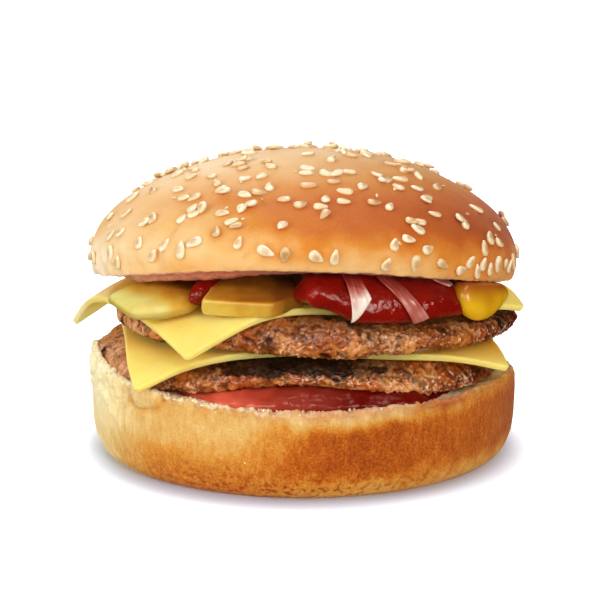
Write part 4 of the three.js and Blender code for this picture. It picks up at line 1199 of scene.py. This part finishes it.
# The roll's right end is turned round a little more at its top than at its foot.
def makeUpperKetchup():
    points, side = layerPoints(upperKetchupEdge, upperKetchupBottom, upperKetchupTop, upperKetchup["power"],
                               *upperKetchup["grid"])
    points = drawIn(points, upperKetchupBottom, upperKetchupTop, upperKetchup["drawnIn"])
    level = levelBetween(points, upperKetchupBottom, upperKetchupTop)
    azimuth, reach = azimuthAt(points), reachAt(points)
    twist = upperKetchup["twist"] * smoothstep(azimuth, 34, 42) * level * smoothstep(reach, 36, 42)
    points = joined(*polar(azimuth + twist, reach), points[..., 2])
    points = points + ringNormals(points) * (rough(points, *upperKetchup["waves"]) * side)[..., None]
    return makeRinged("ketchup_under_crown", points, tomatoKetchup, ["ketchup_upper"])


# Outline cut by straight sides (facing, distance): (cos(a - facing) / distance)^p, summed over the sides.
def cutSides(azimuth, sides, sharpness):
    pulls = [np.maximum(np.cos(np.radians(azimuth - facing)), 0) / distance for facing, distance in sides]
    return sum(pull ** sharpness for pull in pulls)


# A blob bounded by the crown's rim, a circle round the middle of the bun, and by straight sides.
def makeMustard():
    centre, power = np.array(mustard["centre"]), mustard["sharpness"]

    def outline(azimuth):
        toward = np.stack(polar(azimuth, 1.0), axis=-1) @ centre
        rim = np.sqrt(toward ** 2 + mustard["reach"] ** 2 - centre @ centre) - toward
        return (cutSides(azimuth, mustard["sides"], power) + rim ** -power) ** (-1 / power)

    def bottom(x, y):
        hang = bumps(azimuthOf(x, y), mustard["overhang"])
        return upperCheeseTop(x, y) + stack["gap"] - hang * smoothstep(np.hypot(x, y), 46, 51)

    def top(x, y):
        return crownUnderside(x, y) - 0.2

    points, side = layerPoints(outline, bottom, top, mustard["power"], *mustard["grid"], mustard["centre"])
    points = drawIn(points, bottom, top, mustard["drawnIn"])
    level = levelBetween(points, bottom, top)
    tuck = mustard["tucked"] * (1 - smoothstep(level, -0.1, 0.85)) * smoothstep(azimuthAt(points), 53, 62)
    points = points - tuck[..., None] * mustard["tuckWay"]
    points = points + ringNormals(points) * (rough(points, mustard["wave"]) * side)[..., None]
    # Painted shade towards the top, where the crown shades it.
    return makeRinged("mustard_blob", points, yellowMustard, ["mustard"],
                      {"deep": smoothstep(level, 0.35, 0.95)})


makeLowerKetchup()
makeUpperKetchup()
makeMustard()


# Pickled gherkin: firm, wet, glassy flesh, pale green-yellow where light passes through it and amber
# where it is thick or lies in painted shade under the crown, in a thin darker skin.
gherkin = makeMaterial("pickled gherkin")
place = addNode(gherkin, "TexCoord")
skin = addNode(gherkin, "Attribute", {"attribute_name": "skin"})
amber = addNode(gherkin, "Attribute", {"attribute_name": "amber"})
cloud = addNode(gherkin, "TexNoise", {"Scale": perMetre(5), "Detail": 3}, {"Vector": place})
ripe = addNode(gherkin, "Math", {"operation": "MULTIPLY_ADD", 1: 0.5}, {0: cloud, 2: amber})
flesh = addNode(gherkin, "ValToRGB", {}, {"Fac": ripe},
                [(0.2, "#D9D078"), (0.45, "#D6AC40"), (0.7, "#BC7A1E"), (1.0, "#7C4410")])
tint = addNode(gherkin, "Mix", {**blended, 7: linear("#8A7420")}, {0: skin, 6: flesh})
fine = addNode(gherkin, "TexNoise", {"Scale": perMetre(1.2), "Detail": 3}, {"Vector": place})
relief = addNode(gherkin, "Bump", {"Strength": 0.15, "Distance": 0.3 * mm}, {"Height": fine})
surface = addNode(gherkin, "BsdfPrincipled",
                  {"Roughness": 0.34, "IOR": 1.37, "Specular IOR Level": 0.35, "Subsurface Weight": 0.4,
                   "Subsurface Radius": (1.0, 0.6, 0.12), "Subsurface Scale": 3 * mm},
                  {"Base Color": tint, "Normal": relief})
addNode(gherkin, "OutputMaterial", {}, {"Surface": surface})


# Points turned about axis 0, 1 or 2 by the usual cos and sin of the angle.
def turned(points, degrees, axis):
    a, b = [(1, 2), (2, 0), (0, 1)][axis]
    cos, sin = math.cos(math.radians(degrees)), math.sin(math.radians(degrees))
    result = points.copy()
    result[..., a] = cos * points[..., a] - sin * points[..., b]
    result[..., b] = sin * points[..., a] + cos * points[..., b]
    return result


sliced = {"grid": (300, 36, 14), "dent": 0.2, "wave": (0.16, 6)}


# Outline cut by straight sides, r = (sum of pulls)^(-1/p). power rounds the rim: high for a square-cut
# slice, low for one softened to a lens.
def makePickle(name, node, pickle):
    def outline(azimuth):
        return cutSides(azimuth, pickle["sides"], pickle["sharpness"]) ** (-1 / pickle["sharpness"])

    half = pickle["thickness"] / 2
    points = layerPoints(outline, lambda x, y: 0 * x - half, lambda x, y: 0 * x + half, pickle["power"],
                         *sliced["grid"])[0]
    across, along, level = points[..., 0], points[..., 1], points[..., 2] / half
    share = reachAt(points) / outline(azimuthAt(points))
    skinned = smoothstep(share, 0.93, 0.99) * smoothstep(-np.abs(level), -1, -0.6) * pickle["skin"]
    upper = smoothstep(level, 0.8, 1.0) * (1 - smoothstep(share, 0.9, 1.0))
    tints = zip(pickle["amber"], (1, across, along, upper, smoothstep(across, 4, 9)))
    amber = sum(strength * place for strength, place in tints)
    dent = sliced["dent"] * (1 - smoothstep(share, 0.3, 0.8)) * np.sign(level)
    points = points + joined(0.0, 0.0, pickle["dome"] * (1 - share ** 2) * (level > 0) - dent)
    points = turned(turned(points, pickle["tilt"][0], 0), pickle["tilt"][1], 1) + np.array(pickle["at"])
    points = points + ringNormals(points) * rough(points, sliced["wave"])[..., None]
    return makeRinged(name, points, gherkin, [node],
                      {"skin": skinned, "amber": np.clip(amber, 0, 1)})


# amber is its share all over, and then per mm across, per mm along, on the upper face and at the right:
# the last four paint shade where the crown shades the slices, over the flesh's own amber.
leftPickle = {
    "at": (-32.0, -32.0, 41.9), "thickness": 3.4, "tilt": (14, -7), "power": 4.0, "sharpness": 8, "dome": 0.7,
    "sides": [(-60, 9.4), (-140, 10.2), (0, 9.7), (60, 11.2), (118, 13.2), (180, 11.2)],
    "skin": 0.6, "amber": (0.36, 0.05, 0.045, 0.0, 0.0),
}
rightPickle = {
    "at": (-11.8, -39.0, 43.6), "thickness": 3.5, "tilt": (9, 0), "power": 40, "sharpness": 22, "dome": 0.3,
    "sides": [(-10, 8.5), (45, 10.2), (105, 11.4), (170, 10.2), (-143, 9.2), (-100, 8.9)],
    "skin": 0.2, "amber": (0.26, 0.015, 0.0, 0.26, 0.4),
}
makePickle("gherkin_slice_left", "pickle_left", leftPickle)
makePickle("gherkin_slice_right", "pickle_right", rightPickle)


onion = {
    "thickness": 0.8, "clear": 0.3, "columns": 14, "rows": 50, "wave": (0.1, 3),
    "strands": 11, "strandWander": 2.5, "strandSize": (4, 4, 4 / 0.6), "strandPale": 0.03,
    "mottling": (0.14, 2), "edgePale": 0.16,
}


# Raw onion: a crisp, watery, fibrous layer that the sauce behind shows through.
rawOnion = makeMaterial("raw onion")
strand = addNode(rawOnion, "Attribute", {"attribute_name": "strand"})
pale = addNode(rawOnion, "Attribute", {"attribute_name": "pale"})
tint = addNode(rawOnion, "ValToRGB", {}, {"Fac": pale},
               [(0.0, "#74180F"), (0.35, "#94382C"), (0.6, "#B8685B"), (1.0, "#EAD8CC")])
relief = addNode(rawOnion, "Bump", {"Strength": 0.3, "Distance": 0.25 * mm}, {"Height": strand})
surface = addNode(rawOnion, "BsdfPrincipled",
                  {"Roughness": 0.22, "IOR": 1.36, "Subsurface Weight": 0.3,
                   "Subsurface Radius": (1.0, 0.4, 0.3), "Subsurface Scale": 1.5 * mm},
                  {"Base Color": tint, "Normal": relief})
addNode(rawOnion, "OutputMaterial", {}, {"Surface": surface})


# Point on the front of the squeezed ketchup: turn is the angle round it, 90 at the top and -90 below.
def nosePoint(azimuth, turn):
    lean = np.radians(turn)
    x, y = polar(azimuth, np.cos(lean) ** (2 / upperKetchup["power"]) * upperKetchupEdge(azimuth))
    low, high = upperKetchupBottom(x, y), upperKetchupTop(x, y)
    points = joined(x, y, (low + high) / 2 + (high - low) / 2 * np.sin(lean))
    return drawIn(points, upperKetchupBottom, upperKetchupTop, upperKetchup["drawnIn"])


# Flat strip that follows the ketchup: its section is a flattened ellipse, and its lower end is cut on
# the slant by the given angle difference between its edges.
def makeOnion(name, node, strip):
    rows, columns = onion["rows"], onion["columns"]
    along = np.linspace(0, 1, rows)[:, None]
    around = np.arange(2 * columns)[None, :] * math.pi / columns
    across = np.cos(around) * (1 - strip["taper"] * along)
    spread = math.degrees(strip["width"] / upperKetchup["reach"]) / 2
    azimuth = lerp(*strip["azimuths"], along) + across * spread + strip["bow"] * np.sin(math.pi * along)
    turn = lerp(*strip["turns"], along) + strip["slant"] * across * along ** 3
    here = nosePoint(azimuth, turn)
    outward = unit(np.cross(nosePoint(azimuth + 0.5, turn) - here, nosePoint(azimuth, turn + 1) - here))
    ends = np.sqrt(np.clip(1 - (2 * np.abs(along - 0.5)) ** 40, 0, 1))
    face = np.sign(np.sin(around)) * np.abs(np.sin(around)) ** 0.5 * ends
    offset = onion["clear"] + onion["thickness"] / 2 * (1 + face) + rough(here, onion["wave"])
    points = here + outward * offset[..., None]
    strand = np.sin(across * onion["strands"] + onion["strandWander"] * noise(here, onion["strandSize"]))
    pale = lerp(*strip["pale"], smoothstep(along, *strip["fade"])) + onion["strandPale"] * strand
    pale = pale + rough(here, onion["mottling"])
    pale = pale + onion["edgePale"] * smoothstep(np.abs(across), 0.8, 1) * along
    return makeRinged(name, points[:, ::-1], rawOnion, [node],
                      {"strand": strand[:, ::-1], "pale": np.clip(pale, 0, 1)[:, ::-1]})


makeOnion("onion_strip_front", "onion_strip_1",
          {"azimuths": (11.8, 14.4), "turns": (74, -14), "width": 4.4, "taper": 0.05, "slant": 22, "bow": 0.0,
           "pale": (0.0, 1.0), "fade": (0.35, 0.9)})
makeOnion("onion_strip_middle", "onion_strip_2",
          {"azimuths": (19.9, 30.4), "turns": (74, -26), "width": 4.7, "taper": 0.2, "slant": 5, "bow": -0.6,
           "pale": (0.08, 0.6), "fade": (0.0, 0.9)})
makeOnion("onion_strip_right", "onion_strip_3",
          {"azimuths": (33.5, 44.5), "turns": (70, 34), "width": 3.8, "taper": 0.1, "slant": 6, "bow": 0.0,
           "pale": (0.35, 0.65), "fade": (0.2, 0.9)})


studio = {
    "camera": (0, -0.43257, 0.12404), "pitch": 11.656, "lens": 110.82, "shiftX": -0.006,
    "floorSize": 60, "floorTint": "#CAD0E0", "floorGlow": 1.0,
    "glowFrom": (47, 61.5), "glowShift": 0.5, "glowWide": 1.03,
    "ground": "#D6C9B4", "horizon": 0.12, "zenith": 0.6, "warmth": (1, 0.86, 0.74),
}
lights = {  # place and aim in metres, side in metres, watts, and what the light takes part in
    "side softbox": ((-0.78, -0.35, 0.27), (0, 0, 0.04), 0.45, 4.2, "both"),
    "rear softbox": ((-0.15, 0.62, 0.42), (0, 0, 0.05), 0.45, 2.4, "both"),
    "front softbox": ((0.12, -0.7, 0.42), (0, 0, 0.04), 0.12, 1.3, "both"),
    "front fill": ((0.28, -0.75, 0.2), (0, 0, 0.04), 0.4, 2.95, "diffuse"),
    "left panel": ((-0.38, -0.62, 0.4), (0, 0, 0.04), 0.3, 5.5, "gloss"),
    "right panel": ((0.5, -0.54, 0.38), (0, 0, 0.04), 0.3, 5.5, "gloss"),
    "top panel": ((0.05, 0.12, 0.8), (0, 0, 0.06), 0.6, 15, "gloss"),
}


def addToScene(name, data):
    thing = bpy.data.objects.new(name, data)
    bpy.context.scene.collection.objects.link(thing)
    return thing


# White sheet that glows, except in a disc round the food, widened and shifted a little to one side: there the
# lamps' shadow shows, so the glow paints where the shadow ends. It takes no part in the bounces, as the lower
# half of the surroundings already gives its light.
def makeFloor():
    size, (glowStarts, glowFull) = studio["floorSize"], studio["glowFrom"]
    mesh = bpy.data.meshes.new("floor")
    corners = [(-size, -size, 0), (size, -size, 0), (size, size, 0), (-size, size, 0)]
    mesh.from_pydata(corners, [], [(0, 1, 2, 3)])
    floor = addToScene("floor", mesh)
    floor.visible_diffuse = False
    floor.visible_glossy = False
    sheet = makeMaterial("white acrylic sheet")
    place = addNode(sheet, "TexCoord")
    shaded = {"Location": (studio["glowShift"] * mm, 0, 0), "Scale": (studio["glowWide"], 1, 1)}
    wide = addNode(sheet, "Mapping", shaded, {"Vector": place})
    away = addNode(sheet, "VectorMath", {"operation": "LENGTH"}, {0: wide}, output="Value")
    glow = addNode(sheet, "MapRange",
                   {"interpolation_type": "SMOOTHSTEP", "From Min": glowStarts * mm,
                    "From Max": glowFull * mm, "To Max": studio["floorGlow"]}, {"Value": away})
    surface = addNode(sheet, "BsdfPrincipled",
                      {"Base Color": linear(studio["floorTint"]), "Roughness": 0.9, "Specular IOR Level": 0.0,
                       "Emission Color": (1, 1, 1, 1)}, {"Emission Strength": glow})
    addNode(sheet, "OutputMaterial", {}, {"Surface": surface})
    mesh.materials.append(sheet)


# Square area light turned to its aim; one that only shows as gloss is warmer.
def addLight(name, place, aim, size, watts, part):
    data = bpy.data.lights.new(name, "AREA")
    data.size = size
    data.energy = watts
    data.color = studio["warmth"] if part == "gloss" else (1, 1, 1)
    light = addToScene(name, data)
    light.location = place
    light.visible_glossy = part != "diffuse"
    light.visible_diffuse = part != "gloss"
    way = np.array(aim) - np.array(place)
    light.rotation_euler = (math.acos(-way[2] / np.linalg.norm(way)), 0, math.atan2(-way[0], way[1]))


# Surroundings: brightest overhead, dark at the height of the horizon, and lit paper below.
def makeSurroundings():
    world = bpy.data.worlds.new("studio")
    world.use_nodes = True
    direction = addNode(world, "TexCoord", output="Generated")
    upward = addNode(world, "SeparateXYZ", {}, {0: direction}, output="Z")
    half = addNode(world, "Math", {"operation": "MULTIPLY_ADD", 1: 0.5, 2: 0.5}, {0: upward})
    ground, horizon, zenith = studio["ground"], studio["horizon"], studio["zenith"]
    glow = addNode(world, "ValToRGB", {}, {"Fac": half},
                   [(0.0, ground), (0.6, horizon), (0.44, ground), (0.51, horizon), (0.85, zenith)])
    world.node_tree.links.new(glow, world.node_tree.nodes["Background"].inputs["Color"])
    bpy.context.scene.world = world
    world.cycles_visibility.glossy = False


def placeCamera():
    data = bpy.data.cameras.new("camera")
    data.lens = studio["lens"]
    data.shift_x = studio["shiftX"]
    data.clip_start = 0.01
    camera = addToScene("camera", data)
    camera.location = studio["camera"]
    camera.rotation_euler = (math.radians(90 - studio["pitch"]), 0, 0)
    bpy.context.scene.camera = camera


makeFloor()
for name, values in lights.items():
    addLight(name, *values)
makeSurroundings()
placeCamera()
bpy.context.scene.view_settings.view_transform = "Standard"
print(f"stage: floor, {len(lights)} lights, surroundings and camera")
